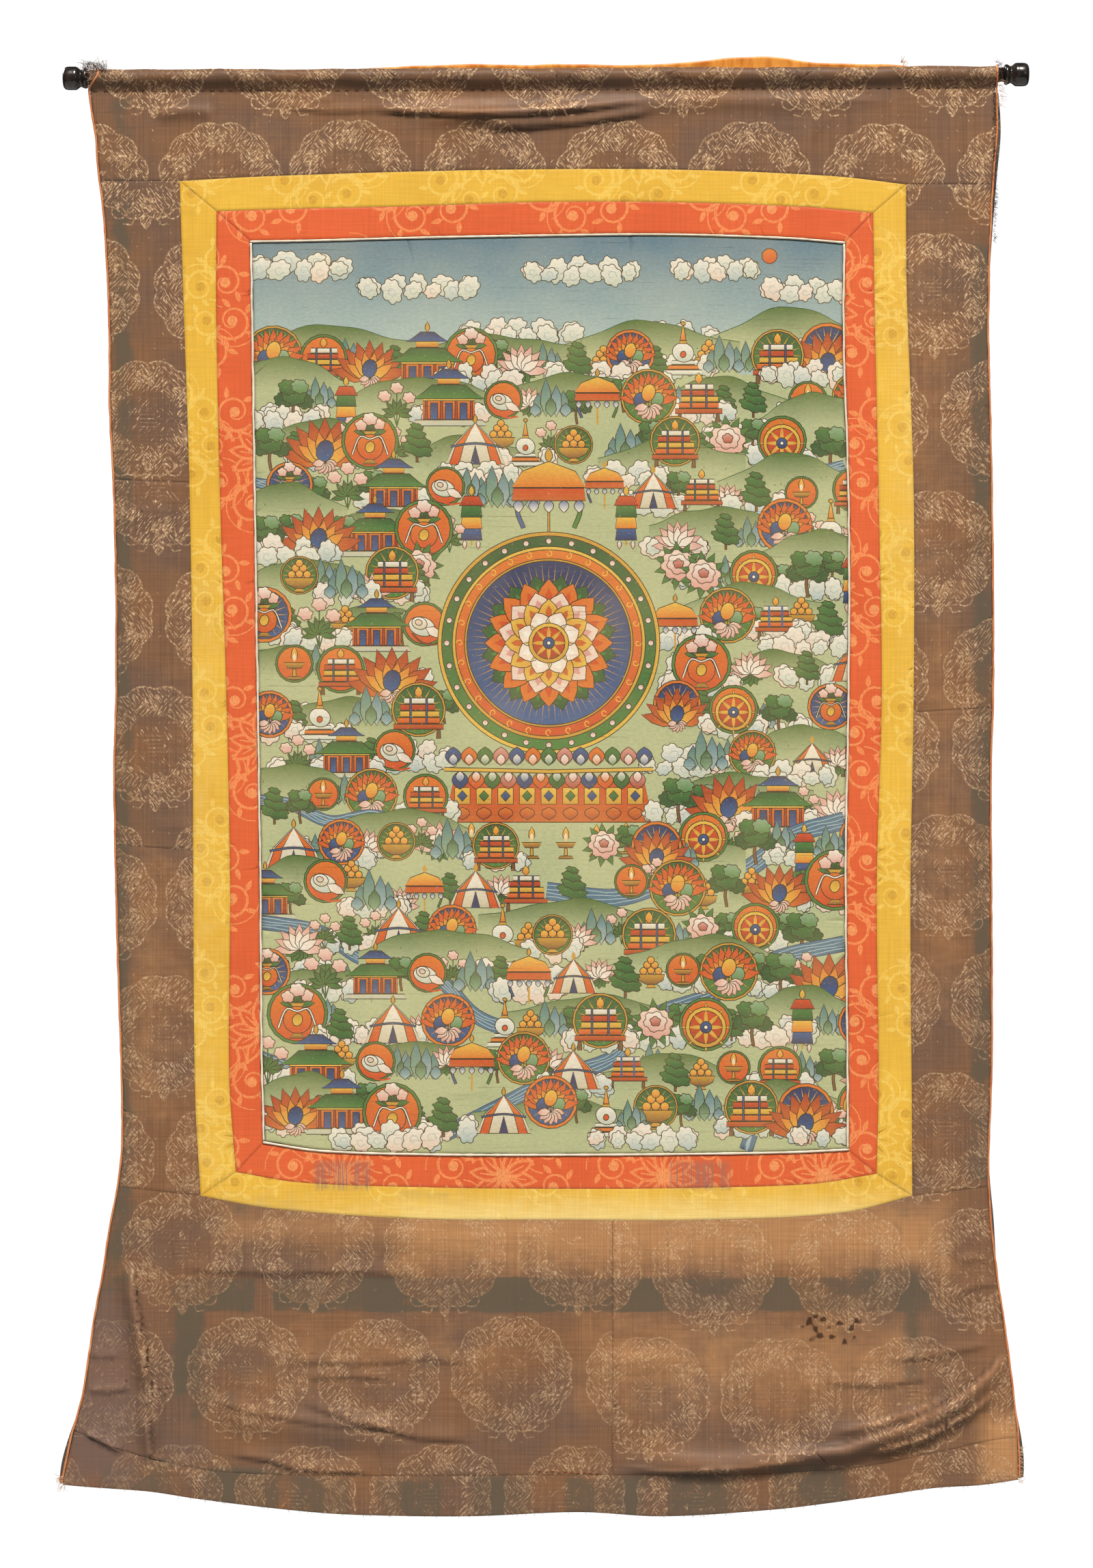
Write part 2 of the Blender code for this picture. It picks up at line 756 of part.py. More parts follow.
def make_veil(silk, hanging):
    """The silk veil thrown back over the rod, hanging behind the sleeve in soft folds."""
    start, end = VEIL_TOP[0][0], VEIL_TOP[-1][0]
    columns = steps(VEIL_COLUMNS, start, end)
    points = []
    for share in VEIL_TOP_ROWS:
        points.append([])
        for across in columns:
            height = share * (through(VEIL_TOP, 1, across) - across * math.tan(ROD_TILT))
            points[-1].append(round_rod(across, VEIL_SECTION[0][0], height))
    for number, (behind, height) in enumerate(VEIL_SECTION):
        loose = VEIL_FOLD_RISE * number / (len(VEIL_SECTION) - 1)
        waves = [loose * (1 + math.sin(2 * math.pi * across / VEIL_FOLD_PITCH)) for across in columns]
        points.append([round_rod(across, behind + wave, height) for across, wave in zip(columns, waves)])
    sheet("veil", points, VEIL, silk, hanging)


def main():
    clear_scene()
    collection = bpy.data.collections.new("thangka scroll painting")
    bpy.context.scene.collection.children.link(collection)
    empty = bpy.data.objects.new("thangka_hanging", None)
    collection.objects.link(empty)
    hanging = {"collection": collection, "empty": empty}

    wood = material("dark turned wood", "2d2928", 0.3)
    brocade = material("brown satin brocade", "8b684d", 0.55)
    yellow = material("yellow silk damask", "e8b94c", 0.5)
    red = material("orange red silk damask", "e6733f", 0.5)
    cream = material("cream cotton piping", "efe0cc", 0.8)
    painted = material("painted cotton", "a3986f", 0.85)
    orange = material("orange silk", "e08a45", 0.55)
    lining = material("dark printed cotton lining", "5f5148", 0.8)

    make_rod(wood, hanging)
    make_top_panel(brocade, hanging)
    make_side_panels(brocade, hanging)
    make_bottom_panels(brocade, hanging)
    make_border("yellow", "red", yellow, hanging)
    make_border("red", "cream", red, hanging)
    make_cream_piping(cream, hanging)
    make_painting(painted, hanging)
    make_side_pipings(orange, hanging)
    make_lining(lining, hanging)
    make_veil(orange, hanging)


main()
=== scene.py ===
import math
import random

import bmesh
import bpy
import numpy as np
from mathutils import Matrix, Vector
from mathutils.bvhtree import BVHTree
from mathutils.geometry import delaunay_2d_cdt


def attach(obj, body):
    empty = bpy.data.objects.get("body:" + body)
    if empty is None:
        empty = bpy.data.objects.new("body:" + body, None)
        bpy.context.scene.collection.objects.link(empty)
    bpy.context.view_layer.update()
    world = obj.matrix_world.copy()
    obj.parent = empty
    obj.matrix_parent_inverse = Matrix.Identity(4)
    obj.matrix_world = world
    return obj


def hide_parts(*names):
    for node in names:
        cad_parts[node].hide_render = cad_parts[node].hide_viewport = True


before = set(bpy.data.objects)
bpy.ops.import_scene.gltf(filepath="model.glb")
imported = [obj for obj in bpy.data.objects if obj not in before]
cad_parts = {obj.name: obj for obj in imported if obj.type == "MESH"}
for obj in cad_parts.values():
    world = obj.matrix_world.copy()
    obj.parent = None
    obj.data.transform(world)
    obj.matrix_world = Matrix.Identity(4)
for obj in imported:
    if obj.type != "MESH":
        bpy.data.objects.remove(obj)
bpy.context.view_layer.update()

# A painted scroll in a brocade mount. Sizes are millimetres. Places on the cloth are (across, down)
# from the middle of the rod's axis, as in the part's source; lift() turns them into places in space.

mm = 0.001
chance = random.Random(11)


def hexColour(text):  # sRGB to linear
    channels = [int(text[i:i + 2], 16) / 255 for i in (0, 2, 4)]
    return (*(c / 12.92 if c <= 0.04045 else ((c + 0.055) / 1.055) ** 2.4 for c in channels), 1.0)


def add(tree, kind, inputs=(), give=0, **settings):
    made = tree.nodes.new("ShaderNode" + kind)
    for name, value in settings.items():
        setattr(made, name, value)
    for name, value in (inputs.items() if isinstance(inputs, dict) else enumerate(inputs)):
        if isinstance(value, bpy.types.NodeSocket):
            tree.links.new(value, made.inputs[name])
        else:
            made.inputs[name].default_value = hexColour(value) if isinstance(value, str) else value
    return made.outputs[give]


def startMaterial(name, roughness, specular=0.3, sheen=0.0, coat=0.0):
    mat = bpy.data.materials.new(name)
    mat.use_nodes = True
    shader = mat.node_tree.nodes["Principled BSDF"]
    for key, value in (("Roughness", roughness), ("Specular IOR Level", specular), ("IOR", 1.45),
                       ("Sheen Weight", sheen), ("Sheen Roughness", 0.45), ("Coat Weight", coat)):
        shader.inputs[key].default_value = value
    return mat, mat.node_tree, shader


def finishMaterial(tree, shader, colour, layers, rough=None, height=None, bump=(0.3, 0.3)):
    # Each layer is (the factors of its share, its colour); without a share it multiplies what is below.
    # bump is the strength and the height in millimetres.
    for factors, over in layers:
        share, *others = factors or [1.0]
        for factor in others:
            share = add(tree, "Math", [share, factor], operation="MULTIPLY")
        colour = add(tree, "Mix", {0: share, 6: colour, 7: over}, give=2, data_type="RGBA",
                     blend_type="MIX" if factors else "MULTIPLY")
    tree.links.new(colour, shader.inputs["Base Color"])
    if rough:
        tree.links.new(rough, shader.inputs["Roughness"])
    if height:
        normal = add(tree, "Bump", {"Height": height, "Strength": bump[0], "Distance": bump[1] * mm})
        tree.links.new(normal, shader.inputs["Normal"])


def ease(value):
    s = np.clip(value, 0.0, 1.0)
    return s * s * (3 - 2 * s)


def through(rows, column, at):  # a smooth curve through a table's first column and this one
    table = np.array(rows, float)
    xs, ys = table[:, 0], table[:, column]
    last = len(xs) - 1
    low, high = np.maximum(np.arange(last + 1) - 1, 0), np.minimum(np.arange(last + 1) + 1, last)
    slopes = (ys[high] - ys[low]) / (xs[high] - xs[low])
    at = np.clip(at, xs[0], xs[-1])
    i = np.clip(np.searchsorted(xs, at, side="right") - 1, 0, last - 1)
    span = xs[i + 1] - xs[i]
    s = (at - xs[i]) / span
    blend = s * s * (3 - 2 * s)
    bend = s * (1 - s) ** 2 * span * slopes[i] + s * s * (s - 1) * span * slopes[i + 1]
    return ys[i] * (1 - blend) + ys[i + 1] * blend + bend


def alongLine(points, line, reach=1e6):  # distance to a line, share of its run, and side of it (1 or -1)
    line = np.array(line, float)
    lengths = np.hypot(*(line[1:] - line[:-1]).T)
    order = np.argsort(points[:, 1])
    sortedDown = points[order, 1]
    nearest = np.full(len(points), 1e6)
    share, side = np.zeros(len(points)), np.ones(len(points))
    passed = 0.0
    for start, end, length in zip(line[:-1], line[1:], lengths):
        if length < 1e-9:
            continue
        direction = (end - start) / length
        ends = min(start[1], end[1]) - reach, max(start[1], end[1]) + reach
        these = order[slice(*np.searchsorted(sortedDown, ends))]
        these = these[abs(points[these, 0] - (start[0] + end[0]) / 2) < length / 2 + reach]
        offset = points[these] - start
        at = np.clip(offset @ direction, 0.0, length)
        distance = np.hypot(*(offset - at[:, None] * direction).T)
        closer = distance < nearest[these]
        these, offset, at = these[closer], offset[closer], at[closer]
        nearest[these] = distance[closer]
        share[these] = (passed + at) / lengths.sum()
        side[these] = np.sign(direction[0] * offset[:, 1] - direction[1] * offset[:, 0])
        passed += length
    return nearest, share, side


def polygonArea(polygon):
    x, y = np.array(polygon, float).T
    return 0.5 * float(np.dot(x, np.roll(y, -1)) - np.dot(y, np.roll(x, -1)))


def inset(polygon, distance):  # the closed polygon, moved inwards
    points = np.array(polygon, float)
    along = np.roll(points, -1, 0) - np.roll(points, 1, 0)
    along /= np.maximum(np.hypot(*along.T), 1e-9)[:, None]
    inward = np.stack([-along[:, 1], along[:, 0]], 1) * np.sign(polygonArea(points))
    moved = points + inward * distance
    for _ in range(3):  # where the shape is narrower than that, its sides have crossed and are left out
        turned = ((np.roll(moved, -1, 0) - moved) * (np.roll(points, -1, 0) - points)).sum(1) <= 0
        if len(moved) < 4 or not turned.any():
            break
        kept = ~turned
        moved, points = moved[kept], points[kept]
    return moved


# the hanging cloth: its outline, seams and folds, as in the part's source
hanging = {
    "rodTilt": math.radians(0.227),  # the right end is a little higher
    "layer": 0.9,  # the cloth's middle lies this far in front of the rod's axis
    "pipingRadius": 0.9,
    "panelInset": 1.95,
    "creamRadius": 1.0,
    "creamProud": 0.2,
    "seamRoll": 0.36,  # every edge is turned under and rolls back this far at the seam
    "seamWidth": 0.8,
    "seamOpen": 0.05,
    # down, left edge, right edge
    "outline": (
        (11, -403, 396.5), (35, -400, 397), (53, -397, 396.5), (80, -395, 394), (113, -391, 392),
        (149, -388, 390.5), (221, -385, 389), (293, -384.5, 390.5), (365, -381, 392), (455, -379, 393),
        (545, -379, 393), (617, -380.5, 391), (761, -378, 392), (869, -374.5, 392), (941, -374, 389.5),
        (977, -378, 389.5), (1013, -385, 392), (1049, -390, 396), (1085, -397, 401), (1121, -402, 406),
        (1157, -407.5, 410), (1193, -417, 414), (1236, -426, 415),
    ),
    # across, down
    "footEdge": (
        (-426, 1236), (-354, 1243), (-306, 1251), (-210, 1261), (-162, 1264), (-66, 1266), (30, 1262),
        (102, 1265), (198, 1260), (246, 1255), (294, 1248), (342, 1240), (380, 1236.5), (415, 1231),
    ),
    "bandSeam": (
        (-416, 1188), (-376, 1205), (-330, 1219), (-282, 1227), (-120, 1230), (58, 1229), (264, 1224),
        (354, 1206), (390, 1197), (414, 1194),
    ),
    # corners of the borders: top left, top right, bottom left, bottom right
    "corners": {
        "yellow": ((-322.5, 92), (316, 95), (-304, 984), (321.5, 984)),
        "red": ((-290, 118.5), (287, 120), (-273, 963), (290, 964.5)),
        "cream": ((-261, 144), (263, 145), (-249.5, 938), (266, 944.5)),
    },
    # outward bow of each side at a tenth, three, five, seven and nine tenths of its length
    "bowPlaces": (0.1, 0.3, 0.5, 0.7, 0.9),
    "bows": {
        ("yellow", "top"): (4, 9, 12, 12, 7), ("yellow", "bottom"): (11, 20, 21, 21, 15),
        ("yellow", "left"): (-1, -3, -2, 1, 3), ("yellow", "right"): (0, 5, 4, 0, 0),
        ("red", "top"): (2, 5, 9, 9, 5), ("red", "bottom"): (9, 13, 14, 13, 9),
        ("red", "left"): (2, 2, 0, 0, 4), ("red", "right"): (1, 4, 6, 1, 2),
        ("cream", "top"): (1, 4, 6, 7, 4), ("cream", "bottom"): (7, 9, 8, 6, 3),
        ("cream", "left"): (0, 0, 0, 0, 1), ("cream", "right"): (-1, 3, 2, -1, 0),
    },
    # down where the seams meet the long edges: stitching, top seam, foot seam, band seam, end
    "edgeSeams": {"left": (11, 92, 976, 1188, 1236), "right": (11, 95, 976, 1194, 1231)},
    "sideSeams": {"left": (0.0, 0.297, 0.66, 1.0), "right": (0.0, 0.522, 1.0)},
    "bottomSeam": 58.0,
    # broad swells: across, down, half width, half height, rise to the front
    "swells": (
        (-410, 1240, 60, 130, 10), (-318, 1245, 42, 110, -3), (-190, 1262, 75, 120, 4),
        (-40, 1266, 65, 110, -2), (110, 1264, 75, 120, 4), (262, 1250, 60, 110, -3),
        (410, 1225, 70, 140, 12), (-385, 560, 45, 260, 2), (390, 470, 45, 260, 2.5),
        (-90, 520, 260, 330, -2.5), (170, 800, 150, 150, 1.5), (-180, 860, 120, 110, 1.5),
    ),
    # main folds: run, half width, rise to the front
    "folds": (
        (((408, 1128), (372, 1160), (328, 1188), (263, 1210), (150, 1219), (61, 1214)), 10, 6.5),
        (((330, 1165), (292, 1184), (225, 1196)), 9, 3),
        (((-364, 1040), (-360, 1085), (-348, 1156), (-350, 1213)), 10, 5),
        (((-135, 37), (-15, 33), (50, 21), (150, 17), (300, 19)), 9, 4.5),
        (((-302, 1166), (-266, 1180), (-186, 1191), (-113, 1197)), 11, 2.5),
        (((-346, 27), (-290, 26)), 9, 1.5),
    ),
    "foldEndShare": 0.18,
    # finer creases: run, half width before and behind it, rise to the front
    "creases": (
        (((410, 1112), (386, 1140), (352, 1166), (318, 1184), (262, 1204), (205, 1211)), 8, 2.4, 5.0),
        (((396, 1152), (366, 1176), (330, 1196), (280, 1211)), 6, 2.2, 3.6),
        (((352, 1158), (318, 1174), (286, 1184), (250, 1190)), 6, 2.2, 2.6),
        (((232, 1213), (170, 1221), (110, 1224), (61, 1219)), 6, 2.0, 2.8),
        (((-364, 1036), (-362, 1070), (-354, 1112), (-347, 1156)), 1.8, 8, 4.4),
        (((-349, 1176), (-349, 1196), (-347, 1217)), 1.8, 5, 3.0),
        (((-405, 1190), (-388, 1199), (-371, 1208)), 6, 2, 2.4),
        (((-404, 1153), (-384, 1154), (-364, 1150)), 6, 2, 2.0),
        (((-408, 1120), (-392, 1124), (-374, 1122)), 5, 2, 1.4),
        (((-282, 1210), (-247, 1214), (-220, 1222), (-150, 1226)), 6, 2, 2.6),
        (((-222, 1161), (-174, 1178), (-113, 1195), (-60, 1198)), 8, 2.4, 2.4),
        (((-300, 1159), (-262, 1172), (-190, 1183), (-120, 1187)), 9, 2.6, 2.4),
        (((-216, 1143), (-176, 1141), (-132, 1143)), 6, 2.2, 1.7),
        (((-330, 1046), (-250, 1050), (-170, 1049), (-100, 1052)), 8, 3.0, 1.8),
        (((-236, 1126), (-170, 1130), (-110, 1126), (-60, 1130)), 7, 2.6, 1.5),
        (((300, 1128), (345, 1122), (392, 1112)), 6, 2.4, 1.6),
        (((240, 1146), (290, 1150), (340, 1142)), 6, 2.4, 1.6),
        (((352, 1072), (378, 1062), (396, 1060)), 5, 2.2, 1.4),
        (((359, 1039), (372, 1036), (384, 1039)), 2.5, 6, 1.2),
        (((36, 1128), (80, 1124), (128, 1127)), 7, 12, 1.4),
        (((-240, 1016), (-120, 1020), (30, 1018)), 8, 14, 0.9),
        (((-346, 33), (-318, 29), (-288, 30)), 2.5, 7, 1.2),
        (((-170, 27), (-120, 31), (-60, 33), (-15, 32), (48, 26), (110, 17)), 8, 2.2, 4.2),
        (((-60, 43), (-20, 44), (30, 40), (74, 34), (100, 29)), 6, 2.2, 3.0),
        (((100, 20), (170, 18), (240, 19), (312, 22)), 6, 2.4, 2.2),
        (((-214, 20), (-200, 18), (-186, 20)), 5, 3, 2.6),
        (((-130, 24), (-60, 24), (-10, 20)), 6, 2.4, 2.6),
        (((-230, 26), (-190, 30), (-150, 29)), 7, 2.4, 1.6),
        (((250, 30), (230, 52), (222, 74)), 6, 14, 0.7),
        (((-387, 380), (-352, 384), (-330, 380)), 5, 9, 0.6),
        (((368, 690), (345, 694), (328, 690)), 5, 9, 0.5),
    ),
    # the painted shade and highlight of the folds are measured over this reach
    "shadeReach": 2.6,
    "reliefStart": 12.0,
    "reliefFull": 34.0,
}


sleeve = {
    "radius": 7.4,  # to the middle of the cloth
    "stitchDown": 11.0,
    "flap": 4.0,
    "loose": 0.55,  # how far the cloth stands off in soft rolls
    "pucker": 0.5,  # gathers along the stitching
}


def border(ring, side):
    topLeft, topRight, bottomLeft, bottomRight = (np.array(c, float) for c in hanging["corners"][ring])
    start, end, outward = {
        "top": (topLeft, topRight, (0, -1)), "bottom": (bottomLeft, bottomRight, (0, 1)),
        "left": (topLeft, bottomLeft, (-1, 0)), "right": (topRight, bottomRight, (1, 0)),
    }[side]
    bows = [(0, 0), *zip(hanging["bowPlaces"], hanging["bows"][ring, side]), (1, 0)]

    def place(t):
        t = np.asarray(t, float)
        return start + np.outer(t, end - start) + np.outer(through(bows, 1, t), outward)

    return place


def longEdge(side, startDown, endDown, drawnIn):
    column, inward = (1, 1) if side == "left" else (2, -1)

    def place(t):
        down = startDown + (endDown - startDown) * np.asarray(t, float)
        return np.stack([through(hanging["outline"], column, down) + inward * drawnIn, down], 1)

    return place


def seamLine(rows, startAcross, endAcross):
    def place(t):
        across = startAcross + (endAcross - startAcross) * np.asarray(t, float)
        return np.stack([across, through(rows, 1, across)], 1)

    return place


def straight(start, end):
    start, end = np.array(start, float).ravel(), np.array(end, float).ravel()
    return lambda t: start + np.outer(np.asarray(t, float), end - start)


def partOf(line, start, end):
    return lambda t: line(start + (end - start) * np.asarray(t, float))


def ring(lines, step=3.0):  # lines end to end, as one closed polygon
    points = []
    for line in lines:
        rough = line(np.linspace(0, 1, 30))
        length = np.hypot(*(rough[1:] - rough[:-1]).T).sum()
        points.append(line(np.linspace(0, 1, max(2, round(length / step)) + 1))[:-1])
    return inset(np.concatenate(points), hanging["seamOpen"])


def relief(places, withFolds=True):  # how far the cloth stands out to the front
    across, down = places[:, 0], places[:, 1]
    rise = np.zeros(len(places))
    for x, z, halfWidth, halfHeight, height in hanging["swells"]:
        rise += height * np.exp(-(((across - x) / halfWidth) ** 2) - ((down - z) / halfHeight) ** 2)
    if withFolds:
        rows = [(run, half, half, height) for run, half, height in hanging["folds"]]
        for run, before, behind, height in rows + list(hanging["creases"]):
            distance, share, side = alongLine(places, run, 2.5 * max(before, behind))
            fade = ease(share / hanging["foldEndShare"]) * ease((1 - share) / hanging["foldEndShare"])
            width = np.where(side > 0, behind, before)
            rise += height * fade * np.exp(-((distance / width) ** 2))
    start = hanging["reliefStart"]
    return rise * ease((down - start) / (hanging["reliefFull"] - start))


def sleeveSection():  # the way round the rod from the front stitching: length along it, y, z
    reach = math.hypot(hanging["layer"], sleeve["stitchDown"])
    leave = math.atan2(hanging["layer"], sleeve["stitchDown"]) + math.acos(sleeve["radius"] / reach)
    angles = np.linspace(leave, 2 * math.pi - leave, 60)
    ys, zs = -sleeve["radius"] * np.sin(angles), -sleeve["radius"] * np.cos(angles)
    low = -sleeve["stitchDown"]
    ys = np.concatenate([[-hanging["layer"]], ys, [hanging["layer"], hanging["layer"]]])
    zs = np.concatenate([[low], zs, [low, low - sleeve["flap"]]])
    run = np.concatenate([[0], np.cumsum(np.hypot(np.diff(ys), np.diff(zs)))])
    return run, ys, zs


sectionRun, sectionY, sectionZ = sleeveSection()
sleeveLength = sectionRun[-1]


def stitchingDown(across):  # the stitching follows the rod
    return sleeve["stitchDown"] - across * math.tan(hanging["rodTilt"])


def lift(places, behind=0.0, edgeDistance=None):
    # Places on the flat cloth as places in space; what is above the stitching goes round the rod.
    across, down = places[:, 0], places[:, 1]
    stitch = stitchingDown(across)
    y = behind - hanging["layer"] - relief(places)
    z = -down
    near = np.exp(-((np.maximum(down - stitch, 0) / 5.0) ** 2))
    gathers = np.sin(across * 0.62 + 2 * np.sin(across * 0.071)) * np.sin(across * 0.113 + 1.3)
    y -= sleeve["pucker"] * gathers * near * ease((down - stitch) / 1.5)
    up = np.clip(stitch - down, 0, sleeveLength)
    turned = down < stitch
    if turned.any():
        sy, sz = np.interp(up, sectionRun, sectionY), np.interp(up, sectionRun, sectionZ)
        roll = np.sin(across * 0.045 + up * 0.09) * np.sin(across * 0.017 - 0.6)
        roll += 0.5 * np.sin(across * 0.16 + up * 0.31) * np.sin(across * 0.033 + 1)
        out = 1 + sleeve["loose"] / sleeve["radius"] * roll * ease(up / 6) * ease((sleeveLength - up) / 14)
        y = np.where(turned, sy * out, y)
        z = np.where(turned, sz * out + across * math.tan(hanging["rodTilt"]), z)
    if edgeDistance is not None:  # the turned edge rolls back at its seam
        rolled = hanging["seamRoll"] * np.exp(-((edgeDistance / hanging["seamWidth"]) ** 2))
        y = y + np.where(turned, 0.0, rolled)
    return np.stack([across, y, z], 1) * mm


# stains, fading, dark marks and wear of the cloth: across, down, half width, half height, edge, amount
marks = {
    "grey": (
        (-373, 545, 8, 440, 7, 0.85), (382, 560, 8, 410, 7, 0.85), (-375, 60, 14, 46, 10, 0.45),
        (-290, 1071, 34, 15.5, 2.4, 0.62), (49, 1071, 290, 15.5, 2.4, 0.6),
        (-143, 1071, 17, 15.5, 2.4, 0.95), (-21, 1071, 34, 15.5, 2.4, 0.9), (80, 1072, 18, 14, 2.4, 0.95),
        (196, 1070, 22, 15, 2.5, 0.85), (300, 1062, 30, 15, 5, 0.8), (-215, 1073, 20, 12, 5, 0.8),
        (-314, 1108, 14, 52, 4, 0.78), (-292, 1168, 22, 14, 9, 0.62), (-262, 1186, 20, 7, 8, 0.5),
        (322, 1096, 9, 52, 5, 0.62), (-395, 1205, 26, 44, 14, 0.25), (-360, 1238, 34, 24, 8, 0.6),
        (-268, 1243, 34, 20, 4, 0.85), (-198, 1250, 26, 20, 3, 0.9), (-120, 1252, 30, 20, 4, 0.7),
        (-40, 1252, 28, 20, 3, 0.85), (52, 1252, 36, 22, 3, 0.8), (140, 1246, 36, 24, 5, 0.6),
        (232, 1240, 34, 20, 4, 0.75), (-250, 995, 40, 16, 14, 0.4), (330, 1000, 30, 22, 14, 0.35),
        (-376, 1010, 16, 60, 9, 0.55), (-108, 984, 24, 6, 6, 0.5), (-314, 520, 8, 22, 7, 0.22),
        (310, 760, 8, 16, 6, 0.35), (-240, 978, 16, 8, 8, 0.2),
    ),
    "fade": (
        (110, 1018, 240, 26, 22, 0.9), (-120, 1010, 170, 20, 20, 0.55), (180, 1128, 150, 40, 34, 0.5),
        (330, 300, 30, 160, 30, 0.3), (-140, 1120, 120, 30, 30, 0.3), (402, 1205, 22, 30, 12, 0.8),
        (-240, 62, 70, 26, 24, 0.25), (-350, 800, 30, 120, 30, 0.35), (345, 640, 30, 200, 24, 0.3),
        (140, 992, 150, 9, 8, 0.45), (-304, 700, 16, 260, 40, 0.35),
    ),
    "dark": (
        (231, 1094, 2.4, 3.6, 1.9, 1), (236, 1101, 2.2, 2.2, 1.7, 1), (240, 1107, 3.4, 2.2, 1.8, 1),
        (233, 1110, 1.9, 2.0, 1.6, 0.9), (251, 1108, 2.6, 2.1, 1.7, 1), (262, 1112, 2.0, 2.4, 1.6, 0.9),
        (243, 1092, 2.2, 2.0, 1.6, 0.9), (236, 1090, 2.6, 1.9, 1.6, 0.8), (258, 1096, 3.2, 1.9, 1.7, 0.95),
        (268, 1100, 2.1, 2.8, 1.7, 1), (273, 1094, 3.0, 2.0, 1.7, 0.9), (226, 1099, 1.9, 2.2, 1.5, 0.8),
        (270, 1109, 1.9, 1.9, 1.5, 0.8), (248, 1100, 1.7, 1.7, 1.5, 0.7), (106, 1021, 1.2, 9, 1.2, 0.5),
        # painted shade in the slit of the lower left crease
        (-359, 1080, 0.8, 15, 2.3, 0.85), (-355, 1104, 0.8, 14, 2.3, 0.95), (-350, 1130, 0.8, 15, 2.3, 0.9),
        (-346, 1156, 0.7, 14, 2.3, 0.8), (-347, 1194, 0.8, 14, 2.3, 0.8),
    ),
    "worn": (
        (-179, 966, 24, 12, 3, 0.95), (135, 966, 26, 12, 3, 0.95), (-276, 820, 12, 22, 10, 0.3),
        (277, 640, 9, 24, 8, 0.3), (-390, 1155, 32, 85, 22, 0.75), (-330, 1205, 40, 20, 18, 0.5),
    ),
}


def shadeAndHighlightAt(places):  # painted shade in the hollows, under the folds and over the sleeve, and painted highlight on the ridges
    steps = np.array(((0, -1), (0, 1), (-1, 0), (1, 0))) * hanging["shadeReach"]
    above, below, left, right = (relief(places + step) for step in steps)
    hollow = (above + below + left + right) / 4 - relief(places)
    # the sleeve faces up to the light and is painted darker: painted shade
    sleeveShade = 0.45 * ease((stitchingDown(places[:, 0]) - places[:, 1]) / 4)
    return np.clip(hollow * 0.9 + np.maximum(above - below, 0) * 0.22 + sleeveShade, -0.6, 1.0)


def markedAt(places):  # grey, faded, dark and worn amounts, one column each
    amounts = np.zeros((len(places), 4), np.float32)
    for column, rows in enumerate(marks.values()):
        for x, z, halfWidth, halfHeight, edge, amount in rows:
            outX = np.abs(places[:, 0] - x) - halfWidth
            outZ = np.abs(places[:, 1] - z) - halfHeight
            outside = np.hypot(np.maximum(outX, 0), np.maximum(outZ, 0)) + np.minimum(
                np.maximum(outX, outZ), 0)
            feather = edge if edge < 2.6 else 1.3 * edge + 5  # a tide line stays crisp, the rest fades out
            value = amount * (1 - ease((outside + feather) / (2 * feather)))
            amounts[:, column] = np.maximum(amounts[:, column], value)
    return amounts


def newDesign(outline, ground=(0.0, 0.0, 0.0)):
    # a piece's outline, with flat shapes drawn on it, the later ones over the earlier
    return {"shapes": [np.array(outline, float)], "paints": [(*ground, *ground, 0, 0, 0, 1)]}


def draw(design, points, paint, second=None, start=(0, 0), run=(0, 1)):
    # paint turns into second over the run from start
    points = np.array(points, float)
    if len(points) > 2:
        design["shapes"].append(points if polygonArea(points) > 0 else points[::-1])
        design["paints"].append((*paint[:3], *(second or paint)[:3], *start, *run))


def ellipse(x, y, rx, ry=None, count=16, turn=0.0, lobes=0, depth=0.0):
    angles = np.linspace(0, 2 * math.pi, count, endpoint=False)
    swing = 1 + depth * np.abs(np.sin(lobes * angles / 2)) if lobes else np.ones(count)
    px, py = rx * swing * np.cos(angles), (ry or rx) * swing * np.sin(angles)
    return np.stack([x + px * math.cos(turn) - py * math.sin(turn),
                     y + px * math.sin(turn) + py * math.cos(turn)], 1)


def ribbon(points, width, endWidth=None):
    line = np.array(points, float)
    along = np.gradient(line, axis=0)
    along /= np.maximum(np.hypot(*along.T), 1e-9)[:, None]
    half = np.linspace(width, width if endWidth is None else endWidth, len(line))[:, None] / 2
    across = np.stack([-along[:, 1], along[:, 0]], 1) * half
    return np.concatenate([line + across, (line - across)[::-1]])


def arcLine(x, y, radius, start, end, count=8, endRadius=None):
    angles = np.radians(np.linspace(start, end, count))
    reach = np.linspace(radius, radius if endRadius is None else endRadius, count)
    return np.stack([x + reach * np.cos(angles), y + reach * np.sin(angles)], 1)


def petal(x, y, angle, length, width, count=5, belly=0.45):
    # a pointed petal that starts at the place and points to the angle, in degrees
    t = np.linspace(0, 1, count)
    half = width / 2 * np.sin(np.pi * t ** (math.log(0.5) / math.log(belly))) ** 0.8
    shape = np.concatenate([np.stack([t * length, half], 1), np.stack([t * length, -half], 1)[-2:0:-1]])
    c, s = math.cos(math.radians(angle)), math.sin(math.radians(angle))
    return shape @ np.array([[c, s], [-s, c]]) + (x, y)


